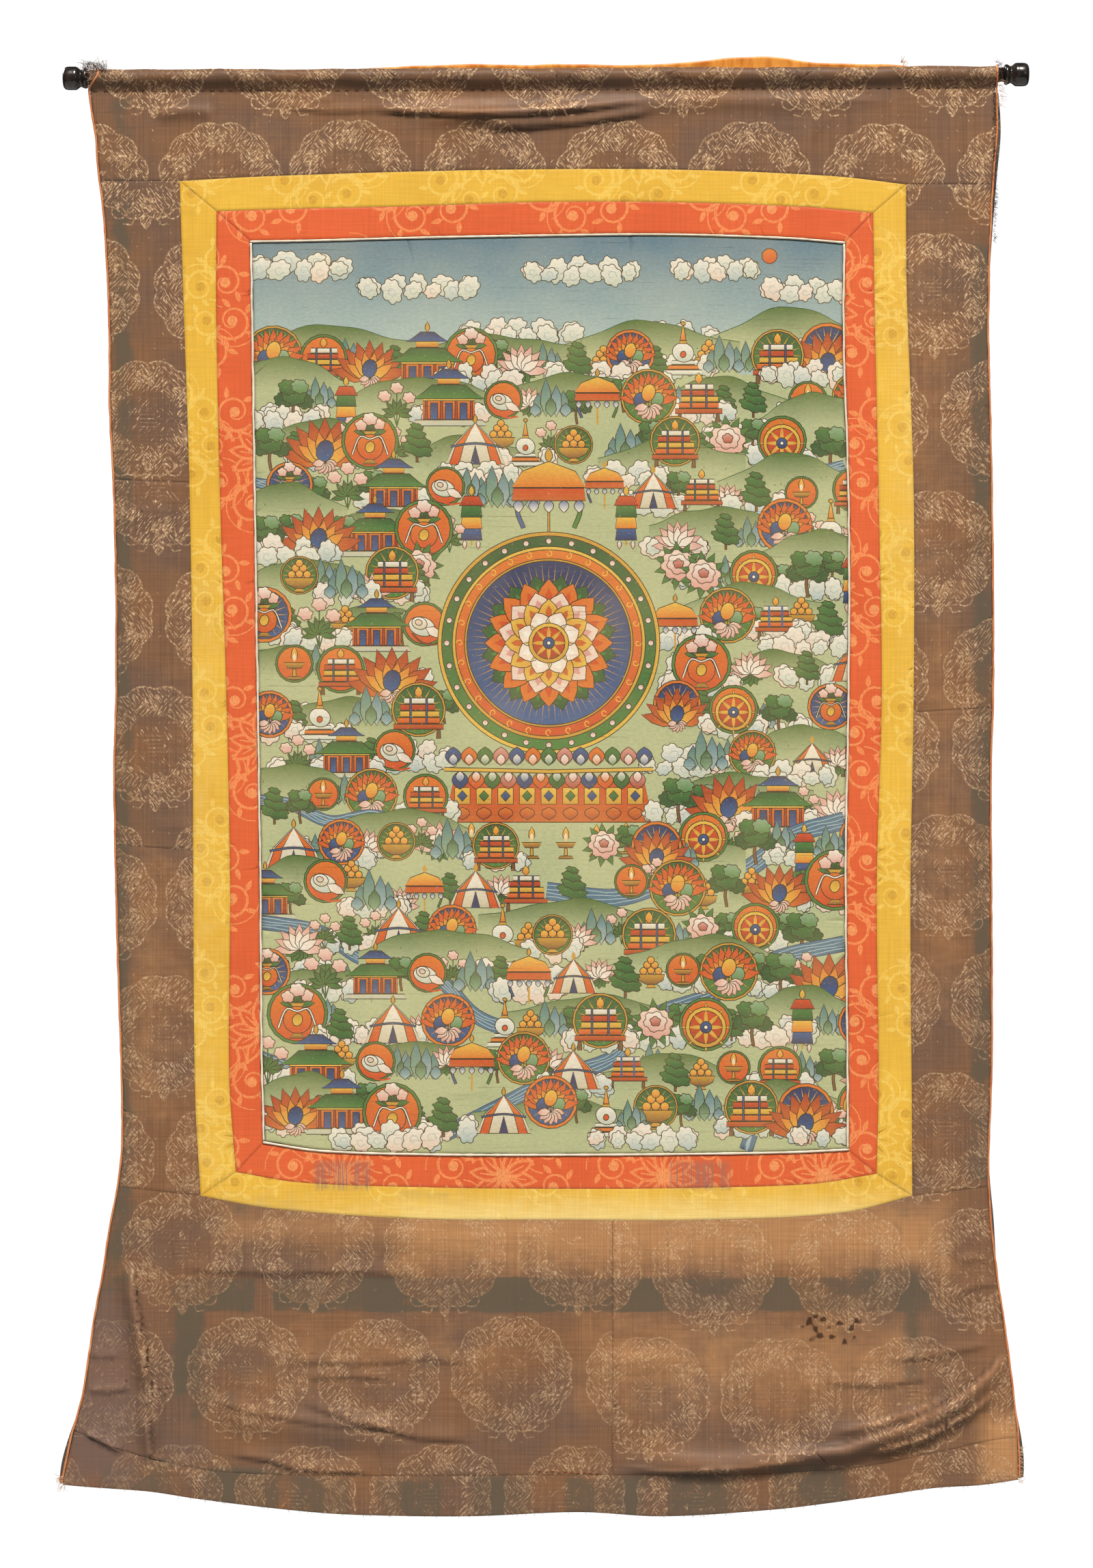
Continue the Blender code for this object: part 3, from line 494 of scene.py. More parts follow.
def cut(points, faces):  # triangles of the first face: places, corners, and the other faces that each is in
    points = np.array(points, float)
    flat, _, triangles, _, _, origins = delaunay_2d_cdt([Vector(p) for p in points], [], faces, 1, 1e-4, True)
    kept = [i for i, found in enumerate(origins) if 0 in found]
    places = np.array([p[:] for p in flat])
    corners = np.array([triangles[i] for i in kept])
    a, b, c = (places[corners[:, i]] for i in range(3))
    turn = (b[:, 0] - a[:, 0]) * (c[:, 1] - a[:, 1]) - (b[:, 1] - a[:, 1]) * (c[:, 0] - a[:, 0])
    corners[turn < 0] = corners[turn < 0][:, ::-1]
    # a shape that touches itself can be taken inside out, which shows in its area
    covered = np.zeros(len(faces))
    for i, area in zip(kept, abs(turn) / 2):
        covered[origins[i]] += area
    sound = covered < 1.2 * np.array([abs(polygonArea(points[face])) for face in faces]) + 0.5
    sound[0] = True
    solid = abs(turn) > 1e-7
    held = [[k for k in origins[i] if sound[k]] for i, whole in zip(kept, solid) if whole]
    return places, corners[solid], held


def visibleParts(design):  # what shows of each shape, as polygons side by side, after the whole outline
    shapes = design["shapes"]
    counts = np.cumsum([0] + [len(shape) for shape in shapes])
    faces = [list(range(a, b)) for a, b in zip(counts, counts[1:])]
    places, corners, origins = cut(np.concatenate(shapes), faces)
    flat = bmesh.new()
    vertices = [flat.verts.new((x, y, 0)) for x, y in places]
    for triangle, found in zip(corners, origins):
        flat.faces.new([vertices[i] for i in triangle]).material_index = max(found)
    flat.normal_update()
    bmesh.ops.dissolve_limit(flat, angle_limit=0.03, use_dissolve_boundaries=False, verts=flat.verts,
                             edges=flat.edges, delimit={"MATERIAL"})
    flat.verts.index_update()
    points = [v.co.xy[:] for v in flat.verts]
    faces = [[v.index for v in face.verts] for face in flat.faces]
    owners = [face.material_index for face in flat.faces]
    flat.free()
    outline = list(range(len(points), len(points) + len(shapes[0])))
    return [*points, *shapes[0]], [outline, *faces], np.array([0, *owners])


def cutSheet(name, design, pitch):
    # The design and a net of points for the folds, cut into one mesh of triangles.
    rims = (0.6, 1.3, 2.4)  # rows of points along the rolled edge
    outline = design["shapes"][0]
    points, faces, owners = visibleParts(design)
    (x0, y0), (x1, y1) = outline.min(0), outline.max(0)
    columns = np.arange(x0 + pitch / 2, x1, pitch)
    rows = np.arange(y0 + pitch / 2, y1, pitch * 0.87)
    net = np.stack(np.meshgrid(columns, rows), -1)
    net[1::2, :, 0] += pitch / 2
    net = net.reshape(-1, 2)
    closed = np.vstack([outline, outline[:1]])
    net = net[alongLine(net, closed, 2 * pitch)[0] > rims[-1] + 0.45 * pitch]
    points = np.concatenate([points, *(inset(outline, rim) for rim in rims), net])
    places, corners, origins = cut(points, faces)
    shapeOf = owners[[found[-1] for found in origins]]
    used, corners = np.unique(corners.ravel(), return_inverse=True)
    # down is against the up of space, and every face looks to the front
    corners = corners.reshape(-1, 3)[:, ::-1]
    places = places[used]
    edgeDistance = alongLine(places, closed, 8.0)[0]
    space = lift(places, 0.0, edgeDistance)

    mesh = bpy.data.meshes.new(name)
    mesh.from_pydata(space.tolist(), [], corners.tolist())
    mesh.shade_smooth()
    paints = np.array(design["paints"], float)[shapeOf]
    at = places[corners]
    share = np.einsum("ijk,ik->ij", at - paints[:, None, 6:8], paints[:, 8:10])
    share = np.clip(share / np.maximum((paints[:, 8:10] ** 2).sum(1), 1e-9)[:, None], 0, 1)[..., None]
    colours = paints[:, None, :3] * (1 - share) + paints[:, None, 3:6] * share
    colours = np.concatenate([colours, np.ones((*colours.shape[:2], 1))], 2).astype(np.float32)
    layer = mesh.color_attributes.new("design", "FLOAT_COLOR", "CORNER")
    layer.data.foreach_set("color", colours.ravel())
    uv = mesh.uv_layers.new(name="cloth")
    uv.data.foreach_set("uv", at.astype(np.float32).ravel())
    # darker near every edge: painted shade where the edge rolls under at its seam
    seam = mesh.attributes.new("seam", "FLOAT", "POINT")
    seam.data.foreach_set("value", np.exp(-((edgeDistance / 1.2) ** 2)).astype(np.float32))
    worn = mesh.color_attributes.new("marks", "FLOAT_COLOR", "POINT")
    worn.data.foreach_set("color", markedAt(places).ravel())
    # painted shade and highlight from the relief, used by the brocade
    shadeAndHighlight = mesh.attributes.new("shadeAndHighlight", "FLOAT", "POINT")
    shadeAndHighlight.data.foreach_set("value", shadeAndHighlightAt(places).astype(np.float32))
    return mesh


def addPiece(name, data, mat, replaced=()):
    piece = bpy.data.objects.new(name, data)
    bpy.context.scene.collection.objects.link(piece)
    piece.data.materials.append(mat)
    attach(piece, "root")
    if replaced:
        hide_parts(*replaced)
    return piece


def clothPiece(node, design, mat, pitch):
    piece = addPiece(f"{node}_cloth", cutSheet(f"{node}_cloth", design, pitch), mat, (node,))


def gridMesh(name, rows, closedAcross=False):  # a net of quads through rows of places in space
    count, width = len(rows), len(rows[0])
    vertices = [tuple(p) for row in rows for p in row]
    faces = []
    for r in range(count - 1):
        for c in range(width if closedAcross else width - 1):
            n = (c + 1) % width
            faces.append((r * width + c, (r + 1) * width + c, (r + 1) * width + n, r * width + n))
    mesh = bpy.data.meshes.new(name)
    mesh.from_pydata(vertices, [], faces)
    mesh.shade_smooth()
    return mesh


def clothCoordinates(tree, scale=(1.0, 1.0), turn=0.0, kind="POINT"):  # millimetres on the cloth, stretched
    uv = add(tree, "UVMap", uv_map="cloth")
    return add(tree, "Mapping", {0: uv, "Rotation": (0, 0, turn), "Scale": (*scale, 1)}, vector_type=kind)


def clothNoises(tree, rows):  # of each row: stretch across and down, detail, roughness
    return [add(tree, "TexNoise", {"Vector": clothCoordinates(tree, row[:2]), "Scale": 1.0,
                                   "Detail": row[2], "Roughness": row[3]}) for row in rows.values()]


def channels(tree, name):  # the red, green, blue and alpha of what a piece's points hold
    colour = add(tree, "Attribute", attribute_name=name)
    return [*(add(tree, "SeparateColor", [colour], give=i) for i in range(3)),
            add(tree, "Attribute", give=3, attribute_name=name)]


def ragged(tree, amount, noise, reach, soft):  # a soft mask cut along a noisy edge
    shifted = add(tree, "Math", [noise, reach, -0.5 * reach], operation="MULTIPLY_ADD")
    total = add(tree, "Math", [amount, shifted], operation="ADD")
    return add(tree, "MapRange", {0: total, 1: 0.45 - soft, 2: 0.45 + soft}, interpolation_type="SMOOTHSTEP")


brocadeLook = {
    "ground": "8c664a", "groundGrey": "7b604f", "fleck": "cfa67d", "glintFleck": "f2d8b2",
    # hollow: the colour of the dark stain spots and of the painted shade in a crease
    "stain": "665c4d", "faded": "bd8c60", "hollow": "2b1a13", "worn": "76625c",
    "fleckSize": (6.6, 1.2),  # woven floats, drawn about twice as coarse as they are
    "fleckTurns": (52, -52),
    "turnPatch": 12.0,  # the floats change direction over this distance
    "rubbed": (150.0, 1050.0, 1.0, 0.58),  # the foot is handled most, so fewer floats are left there
    # streaks run down the warp; a thread is about 0.2 mm, so groups of threads are shown
    "noises": {
        "streaks": (0.8, 0.009, 3.0, 0.5), "picks": (0.02, 0.55, 2.0, 0.5), "broad": (0.011, 0.014, 4.0, 0.5),
        "patchy": (0.05, 0.05, 6.0, 0.65), "glint": (0.45, 0.45, 2.0, 0.5),
    },
}


def makeBrocade():
    # silk satin with a figured weft, woven: soft long sheen, with small pale floats, some of them painted
    # brighter as glints
    look = brocadeLook
    mat, tree, shader = startMaterial("brown silk satin brocade, woven", 0.52, specular=0.16, sheen=0.03)
    density, line = channels(tree, "design")[:2]
    grey, fade, dark, worn = channels(tree, "marks")
    seam, shadeAndHighlight = (add(tree, "Attribute", give=2, attribute_name=name) for name in ("seam", "shadeAndHighlight"))
    streaks, picks, broad, patchy, glint = clothNoises(tree, look["noises"])
    # floats: short strokes on one diagonal or the other
    strokes = []
    for turn in look["fleckTurns"]:
        spread = clothCoordinates(tree, look["fleckSize"], math.radians(turn), "TEXTURE")
        strokes.append(add(tree, "TexNoise", {"Vector": spread, "Scale": 1.0, "Detail": 0.0}))
    patch = clothCoordinates(tree, (1 / look["turnPatch"], 1 / look["turnPatch"]))
    cells = add(tree, "TexVoronoi", {"Vector": patch, "Scale": 1.0}, give=1)
    choice = add(tree, "Math", [add(tree, "SeparateColor", [cells]), 0.5], operation="GREATER_THAN")
    stroke = add(tree, "Mix", {0: choice, 2: strokes[0], 3: strokes[1]})
    least = add(tree, "MapRange", [density, 0.0, 1.0, 0.78, 0.46])
    over = add(tree, "Math", [stroke, least], operation="SUBTRACT")
    fleck = add(tree, "MapRange", [over, 0.0, 0.06], interpolation_type="SMOOTHSTEP")
    broken = add(tree, "Math", [line, add(tree, "MapRange", [glint, 0.3, 0.6])], operation="MULTIPLY")
    fleck = add(tree, "Math", [fleck, broken], operation="MAXIMUM")
    # painted glints: some floats are painted brighter
    bright = add(tree, "MapRange", [glint, 0.5, 0.68])
    pale = add(tree, "Mix", {0: bright, 6: look["fleck"], 7: look["glintFleck"]}, give=2, data_type="RGBA")
    down = add(tree, "SeparateXYZ", [clothCoordinates(tree)], give=1)
    shown = fleck
    for thinned in ([glint, 0.32, 0.6, 0.3, 0.9], [down, *look["rubbed"]]):
        shown = add(tree, "Math", [shown, add(tree, "MapRange", thinned)], operation="MULTIPLY")
    # stains soak the plain ground more than the figured floats
    soak = (ragged(tree, grey, patchy, 1.1, 0.2), add(tree, "MapRange", [density, 0.0, 0.8, 0.85, 0.4]),
            add(tree, "MapRange", [shown, 0.0, 1.0, 1.0, 0.35]))
    rough = add(tree, "Math", [add(tree, "MapRange", [shown, 0.0, 1.0, 0.47, 0.6]),
                               add(tree, "MapRange", [patchy, 0.3, 0.7, -0.05, 0.09])], operation="ADD")
    finishMaterial(tree, shader, look["groundGrey"], (
        ([add(tree, "MapRange", [broad, 0.38, 0.62])], look["ground"]),
        ([ragged(tree, fade, patchy, 0.7, 0.4)], look["faded"]),
        ([shown], pale),
        ([], add(tree, "MapRange", [streaks, 0.3, 0.7, 0.84, 1.14])),
        ([], add(tree, "MapRange", [picks, 0.3, 0.7, 0.9, 1.09])),
        (soak, look["stain"]),
        ([ragged(tree, worn, patchy, 0.6, 0.3), 0.6], look["worn"]),
        # dark stain spots, and painted shade in the slit of the lower left crease
        ([ragged(tree, dark, patchy, 0.35, 0.2), 0.8], look["hollow"]),
        # painted shade along the seams
        ([], add(tree, "MapRange", [seam, 0.0, 1.0, 1.0, 0.82])),
        # painted shade in the hollows, under the folds and on the sleeve; painted highlight on the ridges
        ([], add(tree, "MapRange", [shadeAndHighlight, -0.6, 1.0, 1.22, 0.42])),
    ), rough, add(tree, "Math", [streaks, 0.35, fleck], operation="MULTIPLY_ADD"), (0.35, 0.25))
    return mat


yellowLook = {
    "ground": "ecbd49", "deep": "cf9a30", "figure": "f7d670", "faded": "f8e19a", "stain": "8f7f52",
    "worn": "b08f62", "lineShade": "c4902f", "fullness": 0.6,
}
redLook = {
    "ground": "e3693d", "deep": "cc5530", "figure": "f6a062", "faded": "ee8f63", "stain": "9a6a58",
    "worn": "a3705f", "lineShade": "f7ae6e", "fullness": 0.8,
}
damaskNoises = {
    "streaks": (0.7, 0.02, 3.0, 0.5), "picks": (0.03, 0.6, 3.0, 0.5), "broad": (0.012, 0.012, 5.0, 0.5),
    "patchy": (0.07, 0.07, 6.0, 0.7), "thread": (0.9, 0.35, 1.0, 0.5),
}


def makeDamask(name, look):
    # silk damask, woven: one colour, its figure shows by the other face of the weave and a softer gloss, and
    # is also painted paler as painted sheen
    mat, tree, shader = startMaterial(name, 0.5, specular=0.28, sheen=0.06)
    figure, line = channels(tree, "design")[:2]
    grey, fade, _, worn = channels(tree, "marks")
    seam = add(tree, "Attribute", give=2, attribute_name="seam")
    streaks, picks, broad, patchy, thread = clothNoises(tree, damaskNoises)
    broken = add(tree, "MapRange", [thread, 0.32, 0.6, 0.35, 1.0])
    amount = add(tree, "Math", [figure, broken], operation="MULTIPLY")
    amount = add(tree, "Math", [amount, look["fullness"]], operation="MULTIPLY")
    bars = add(tree, "MapRange", [streaks, 0.42, 0.56, 0.1, 0.85])  # the weft lies bare in bars
    finishMaterial(tree, shader, look["ground"], (
        ([add(tree, "MapRange", [broad, 0.35, 0.65, 0.35, 0.0])], look["deep"]),
        # the woven figure, painted paler: painted sheen standing in for its gloss
        ([amount], look["figure"]),
        ([line, broken, 0.7], look["lineShade"]),
        ([ragged(tree, fade, patchy, 0.6, 0.4), 0.75], look["faded"]),
        ([ragged(tree, grey, patchy, 0.5, 0.25), 0.55], look["stain"]),
        ([ragged(tree, worn, thread, 0.55, 0.22), bars], look["worn"]),
        ([], add(tree, "MapRange", [streaks, 0.3, 0.7, 0.94, 1.05])),
        ([], add(tree, "MapRange", [picks, 0.3, 0.7, 0.94, 1.05])),
        # painted shade along the seams
        ([], add(tree, "MapRange", [seam, 0.0, 1.0, 1.0, 0.8])),
    ), add(tree, "MapRange", [amount, 0.0, 1.0, 0.46, 0.62]),
        add(tree, "Math", [thread, 0.5, figure], operation="MULTIPLY_ADD"), (0.3, 0.2))
    return mat


def simpleWeave(name, low, high, roughness, scale, sheen=0.1):  # threads between two colours
    mat, tree, shader = startMaterial(name, roughness, specular=0.25, sheen=sheen)
    place = add(tree, "TexCoord", give="Object")
    noise = add(tree, "TexNoise", {"Vector": place, "Scale": scale, "Detail": 4.0, "Roughness": 0.6})
    broad = add(tree, "TexNoise", {"Vector": place, "Scale": scale / 12, "Detail": 3.0})
    mixed = add(tree, "Math", [noise, broad], operation="ADD")
    finishMaterial(tree, shader, low, [([add(tree, "MapRange", [mixed, 0.75, 1.25])], high)], height=noise)
    return mat


camera = {
    "lens": 85.0,
    "sensor": 36.0,
    "mmPerPixel": 0.6,  # of the photograph, 1600 by 2296 pixels
    "frameHeight": 2296,
    "middleDown": 622.0,
}


def makeCamera():
    data = bpy.data.cameras.new("camera")
    data.lens, data.sensor_width = camera["lens"], camera["sensor"]
    data.clip_end = 30
    eye = bpy.data.objects.new("camera", data)
    bpy.context.scene.collection.objects.link(eye)
    distance = camera["lens"] / camera["sensor"] * camera["frameHeight"] * camera["mmPerPixel"]
    eye.location = (0, -(distance + 2) * mm, -camera["middleDown"] * mm)
    eye.rotation_euler = (math.pi / 2, 0, 0)
    bpy.context.scene.camera = eye


lights = {
    # place, aim, size, power, colour
    "key above": ((0.6, -6.0, 8.5), (0, 0, -0.65), (2.0, 2.0), 1750, "fff9f0"),
    "side fill": ((1.9, -2.8, 0.4), (0, 0, -0.8), (1.4, 1.4), 7, "fdfbff"),
    "light from behind": ((-3.4, 3.4, 2.4), (0, 0, -0.65), (1.2, 1.2), 330, "ffffff"),
}


def makeLights():
    for name, (place, aim, size, power, colour) in lights.items():
        data = bpy.data.lights.new(name, "AREA")
        data.shape = "RECTANGLE"
        data.size, data.size_y = size
        data.energy = power
        data.color = hexColour(colour)[:3]
        lamp = bpy.data.objects.new(name, data)
        bpy.context.scene.collection.objects.link(lamp)
        lamp.location = place
        lamp.rotation_euler = (Vector(aim) - Vector(place)).to_track_quat("-Z", "Y").to_euler()
    world = bpy.data.worlds.new("studio")
    world.use_nodes = True
    sky = world.node_tree.nodes["Background"]
    sky.inputs["Color"].default_value = (1, 1, 1, 1)
    seen = add(world.node_tree, "LightPath")  # white to look at, but the cloth gets little light from it
    strength = add(world.node_tree, "MapRange", {0: seen, 3: 0.05, 4: 1.03})
    world.node_tree.links.new(strength, sky.inputs["Strength"])
    bpy.context.scene.world = world
    bpy.context.scene.view_settings.view_transform = "Standard"


floor = {"under": 1.9, "reach": 2.5}  # metres; it ends before the camera's view reaches it


def makeStage():
    # painted board: matt and pale, far enough below that it throws little light up the folds
    mat, tree, shader = startMaterial("pale painted studio floor", 0.85, specular=0.15)
    place = add(tree, "TexCoord", give="Object")
    cloudy = add(tree, "TexNoise", {"Vector": place, "Scale": 1.1, "Detail": 4.0})
    finishMaterial(tree, shader, "b9b8b6", [([cloudy], "c4c3c2")])
    angles = np.linspace(0, 2 * math.pi, 97)[:-1]
    rows = [[(floor["reach"] * share * math.cos(a), floor["reach"] * share * math.sin(a), -floor["under"])
             for a in angles] for share in (0.02, 0.5, 1.0)]
    mesh = gridMesh("floor", rows, closedAcross=True)
    stage = bpy.data.objects.new("floor", mesh)
    bpy.context.scene.collection.objects.link(stage)
    mesh.materials.append(mat)


makeCamera()
makeLights()
makeStage()
print("camera, light and floor")


roundel = {
    "radius": 50.0, "pitch": 117.0, "rowPitch": 113.0, "astray": 2.0,
    "net": 3.4, "sleeveNet": 3.0,  # steps of the mesh
    # where one roundel of each piece lies
    "at": {
        "top_panel": (-54, 91), "left_panel_1": (-352, 300), "left_panel_2": (-342, 588),
        "left_panel_3": (-338, 840), "right_panel_1": (342, 188), "right_panel_2": (352, 700),
        "bottom_panel_left": (-146, 1142), "bottom_panel_right": (90, 1158), "foot_band": (132, 1250),
    },
}


def drawRoundel(design, x, y):
    # red channel: how dense the floats are; green channel: outlines
    r = roundel["radius"]
    wreath, sparse, thick, line = (0.72, 0, 0), (0.3, 0, 0), (1.0, 0, 0), (0.6, 0.8, 0)
    draw(design, ellipse(x, y, r * 1.03, r * 0.98, 72, lobes=12, depth=0.07), line)
    draw(design, ellipse(x, y, r * 1.0, r * 0.95, 72, lobes=12, depth=0.07), wreath)
    for k in range(12):  # leaves in the wreath
        a = math.radians(30 * k + 9)
        draw(design, petal(x + 0.58 * r * math.cos(a), y + 0.56 * r * math.sin(a), 30 * k + 50 - 70 * (k % 2),
                           0.4 * r, 0.2 * r, 5), thick)
    for k in range(6):  # curls
        a = math.radians(60 * k + 24)
        cx, cy = x + 0.76 * r * math.cos(a), y + 0.73 * r * math.sin(a)
        draw(design, ribbon(arcLine(cx, cy, 0.13 * r, 60 * k, 60 * k + 400, 12, 0.04 * r), 1.5), line)
    draw(design, ellipse(x, y, r * 0.5, r * 0.47, 36, lobes=8, depth=0.12), sparse)
    draw(design, ellipse(x, y, r * 0.47, r * 0.44, 36, lobes=8, depth=0.12), (0.22, 0, 0))
    for k in range(6):
        draw(design, petal(x, y, 60 * k + 30, 0.38 * r, 0.14 * r, 5), (0.55, 0, 0))
    draw(design, ellipse(x, y, r * 0.2, r * 0.24, 4, turn=math.pi / 4), (0.12, 0, 0))
    for k in range(-2, 3):
        h = y + k * 0.07 * r
        draw(design, ribbon([(x - 0.13 * r, h), (x + 0.13 * r, h)], 0.9), (0.6, 0.3, 0))
    # the hanging ornament at the foot: a tassel between two scrolls
    foot = y + 0.98 * r
    for s in (-1, 1):
        scroll = arcLine(x + s * 0.5 * r, foot - 0.12 * r, 0.2 * r, 90 + s * 100, 90 - s * 120, 12, 0.08 * r)
        draw(design, ribbon(scroll, 1.6, 1.0), line)
        draw(design, ribbon([(x + s * 0.18 * r, foot), (x + s * 0.26 * r, foot + 0.14 * r),
                             (x + s * 0.4 * r, foot + 0.12 * r)], 1.5), line)
    draw(design, petal(x, foot - 0.08 * r, 90, 0.3 * r, 0.2 * r, 7), line)
    draw(design, petal(x, foot - 0.05 * r, 90, 0.24 * r, 0.13 * r, 7), thick)


def drawRoundels(node, design):
    outline = design["shapes"][0]
    low, high = outline.min(0), outline.max(0)
    x0, y0 = roundel["at"][node]
    reach = roundel["radius"] * 1.5
    for row in range(-12, 13):
        for column in range(-9, 10):
            x = x0 + (column + (row % 2) / 2) * roundel["pitch"]
            y = y0 + row * roundel["rowPitch"]
            if low[0] - reach < x < high[0] + reach and low[1] - reach < y < high[1] + reach:
                x += chance.uniform(-roundel["astray"], roundel["astray"])
                drawRoundel(design, x, y + chance.uniform(-roundel["astray"], roundel["astray"]))


def brocadeOutlines():
    yellowTop, yellowBottom = border("yellow", "top"), border("yellow", "bottom")

    def edge(side, first):  # the long edge between two of its seams
        return longEdge(side, *hanging["edgeSeams"][side][first:first + 2], hanging["panelInset"])

    # the panel above the painting runs on round the rod
    left, right = edge("left", 0), edge("right", 0)
    bend = 0.06  # share of the edge that is kept straight below the stitching
    stitched = [(x, stitchingDown(x)) for x in (left([0.0])[0, 0], right([0.0])[0, 0])]
    upper = [(x, down - sleeveLength + 0.05) for x, down in stitched]
    outlines = {"top_panel": ring([
        straight(*upper), straight(upper[1], stitched[1]), straight(stitched[1], right([bend])),
        partOf(right, bend, 1.0), straight(right([1.0]), yellowTop([1.0])), partOf(yellowTop, 1.0, 0.0),
        straight(yellowTop([0.0]), left([1.0])), partOf(left, 1.0, bend),
        straight(left([bend]), stitched[0]), straight(stitched[0], upper[0]),
    ])}
    for side in ("left", "right"):
        shares = hanging["sideSeams"][side]
        for number, ends in enumerate(zip(shares, shares[1:]), 1):
            a, b = partOf(edge(side, 1), *ends), partOf(border("yellow", side), *ends)
            if side == "right":
                a, b = b, a
            outlines[f"{side}_panel_{number}"] = ring([
                straight(a([0.0]), b([0.0])), b, straight(b([1.0]), a([1.0])), partOf(a, 1.0, 0.0)])
    left, right = edge("left", 2), edge("right", 2)
    band = seamLine(hanging["bandSeam"], left([1.0])[0, 0], right([1.0])[0, 0])
    seam = hanging["bottomSeam"]
    shares = np.linspace(0, 1, 400)
    share = shares[np.argmin(abs(yellowBottom(shares)[:, 0] - seam))]
    seamTop = yellowBottom([share])[0]
    seamFoot = (seam, float(through(hanging["bandSeam"], 1, np.array([seam]))[0]))
    outlines["bottom_panel_left"] = ring([
        straight(left([0.0]), yellowBottom([0.0])), partOf(yellowBottom, 0.0, share),
        straight(seamTop, seamFoot),
        seamLine(hanging["bandSeam"], seam, left([1.0])[0, 0]), partOf(left, 1.0, 0.0)])
    outlines["bottom_panel_right"] = ring([
        partOf(yellowBottom, share, 1.0), straight(yellowBottom([1.0]), right([0.0])), right,
        seamLine(hanging["bandSeam"], right([1.0])[0, 0], seam), straight(seamFoot, seamTop)])
    ends = edge("right", 3)([1.0])[0, 0], edge("left", 3)([1.0])[0, 0]
    footEdge = seamLine(hanging["footEdge"], *ends)
    outlines["foot_band"] = ring([
        band, straight(band([1.0]), footEdge([0.0])), footEdge, straight(footEdge([1.0]), band([0.0]))])
    return outlines


def makeBrocadePieces(mat):
    for node, outline in brocadeOutlines().items():
        design = newDesign(outline)
        drawRoundels(node, design)
        clothPiece(node, design, mat, roundel["sleeveNet" if node == "top_panel" else "net"])


makeBrocadePieces(makeBrocade())
print("brocade panels")


damask = {
    # ring: pitch along both ways, radius, one centre
    "yellow": (137.0, 60.0, (-60.0, 70.0)),
    "red": (141.0, 68.0, (-179.0, 967.0)),
}


def drawScroll(design, x, y, r, full, line):
    # a lotus flower in a wheel of scrolling stems, cut off wherever the strip ends
    for k in range(8):
        a = 45 * k + 12
        cx, cy = x + 0.66 * r * math.cos(math.radians(a)), y + 0.66 * r * math.sin(math.radians(a))
        turn = 1 if k % 2 else -1
        curl = arcLine(cx, cy, 0.27 * r, a + 160, a + 160 + turn * 470, 22, 0.07 * r)
        stem = arcLine(cx, cy, 0.32 * r, a + 130, a + 130 + turn * 150, 10, 0.36 * r)
        draw(design, ribbon(curl, 3.0, 1.2), full)
        draw(design, ribbon(stem, 1.4, 0.9), full)
        for j in range(4):
            b = a + 160 + turn * (60 + 70 * j)
            reach = 0.25 * r * (1 - 0.1 * j)
            draw(design, petal(cx + reach * math.cos(math.radians(b)), cy + reach * math.sin(math.radians(b)),
                               b + turn * 35, 0.16 * r, 0.07 * r, 5), full)
        draw(design, ellipse(cx, cy, 0.07 * r, count=8), line)
    for k in range(10):
        a = 36 * k + 8
        c, s = math.cos(math.radians(a)), math.sin(math.radians(a))
        draw(design, petal(x, y, a, 0.45 * r, 0.2 * r, 7), full)
        draw(design, petal(x + 0.08 * r * c, y + 0.08 * r * s, a, 0.31 * r, 0.12 * r, 6), (0, 0, 0))
        vein = [(x + 0.1 * r * c, y + 0.1 * r * s), (x + 0.3 * r * c, y + 0.3 * r * s)]
        draw(design, ribbon(vein, 1.6, 0.8), line)
    draw(design, ellipse(x, y, 0.1 * r, count=10), line)


def makeBorder(name, inner, mat):
    pitch, radius, (x0, y0) = damask[name]
    for side in ("top", "bottom", "left", "right"):
        a, b = border(name, side), border(inner, side)
        if side in ("bottom", "right"):
            a, b = b, a
        if side in ("top", "bottom"):
            lines = [a, straight(a([1.0]), b([1.0])), partOf(b, 1.0, 0.0), straight(b([0.0]), a([0.0]))]
        else:
            lines = [straight(a([0.0]), b([0.0])), b, straight(b([1.0]), a([1.0])), partOf(a, 1.0, 0.0)]
        outline = ring(lines)
        design = newDesign(outline)
        low, high = outline.min(0), outline.max(0)
        for row in range(-8, 9):
            for column in range(-5, 6):
                x, y = x0 + (column + (row % 2) / 2) * pitch, y0 + row * pitch * 0.9
                if low[0] - radius < x < high[0] + radius and low[1] - radius < y < high[1] + radius:
                    drawScroll(design, x, y, radius, (1, 0, 0), (0.3, 1, 0))
        clothPiece(f"{name}_{side}", design, mat, 4.0)


yellowSilk = makeDamask("yellow silk damask, woven", yellowLook)
redSilk = makeDamask("orange red silk damask, woven", redLook)
makeBorder("yellow", "red", yellowSilk)
makeBorder("red", "cream", redSilk)
print("silk borders")

# the painted cloth: a design of hills, clouds and offerings round an open lotus
paints = {name: hexColour(text)[:3] for name, text in {
    "ink": "332823", "sky": "5d7f93", "haze": "a9bfbb", "ground": "b7bf93", "crest": "55733f",
    "cloud": "f1ecdd", "shade": "c2cbb8", "mist": "a9bdb9", "blush": "e3c9b4", "stone": "cfc4a4",
    "water": "4f7690", "ripple": "aec4c6", "orange": "e07a33", "vermilion": "d2512c", "red": "ab3b2b",
    "pink": "dd9f92", "petal": "f3dcc8", "white": "f5efe0", "yellow": "eabf52", "gold": "cf9a3d",
    "green": "4d8243", "leaf": "2f5a38", "blue": "3a5f94", "night": "2b3764", "rock": "4b7a84",
    "moss": "93b08c", "brown": "7d5234", "robe": "c9632f",
}.items()}

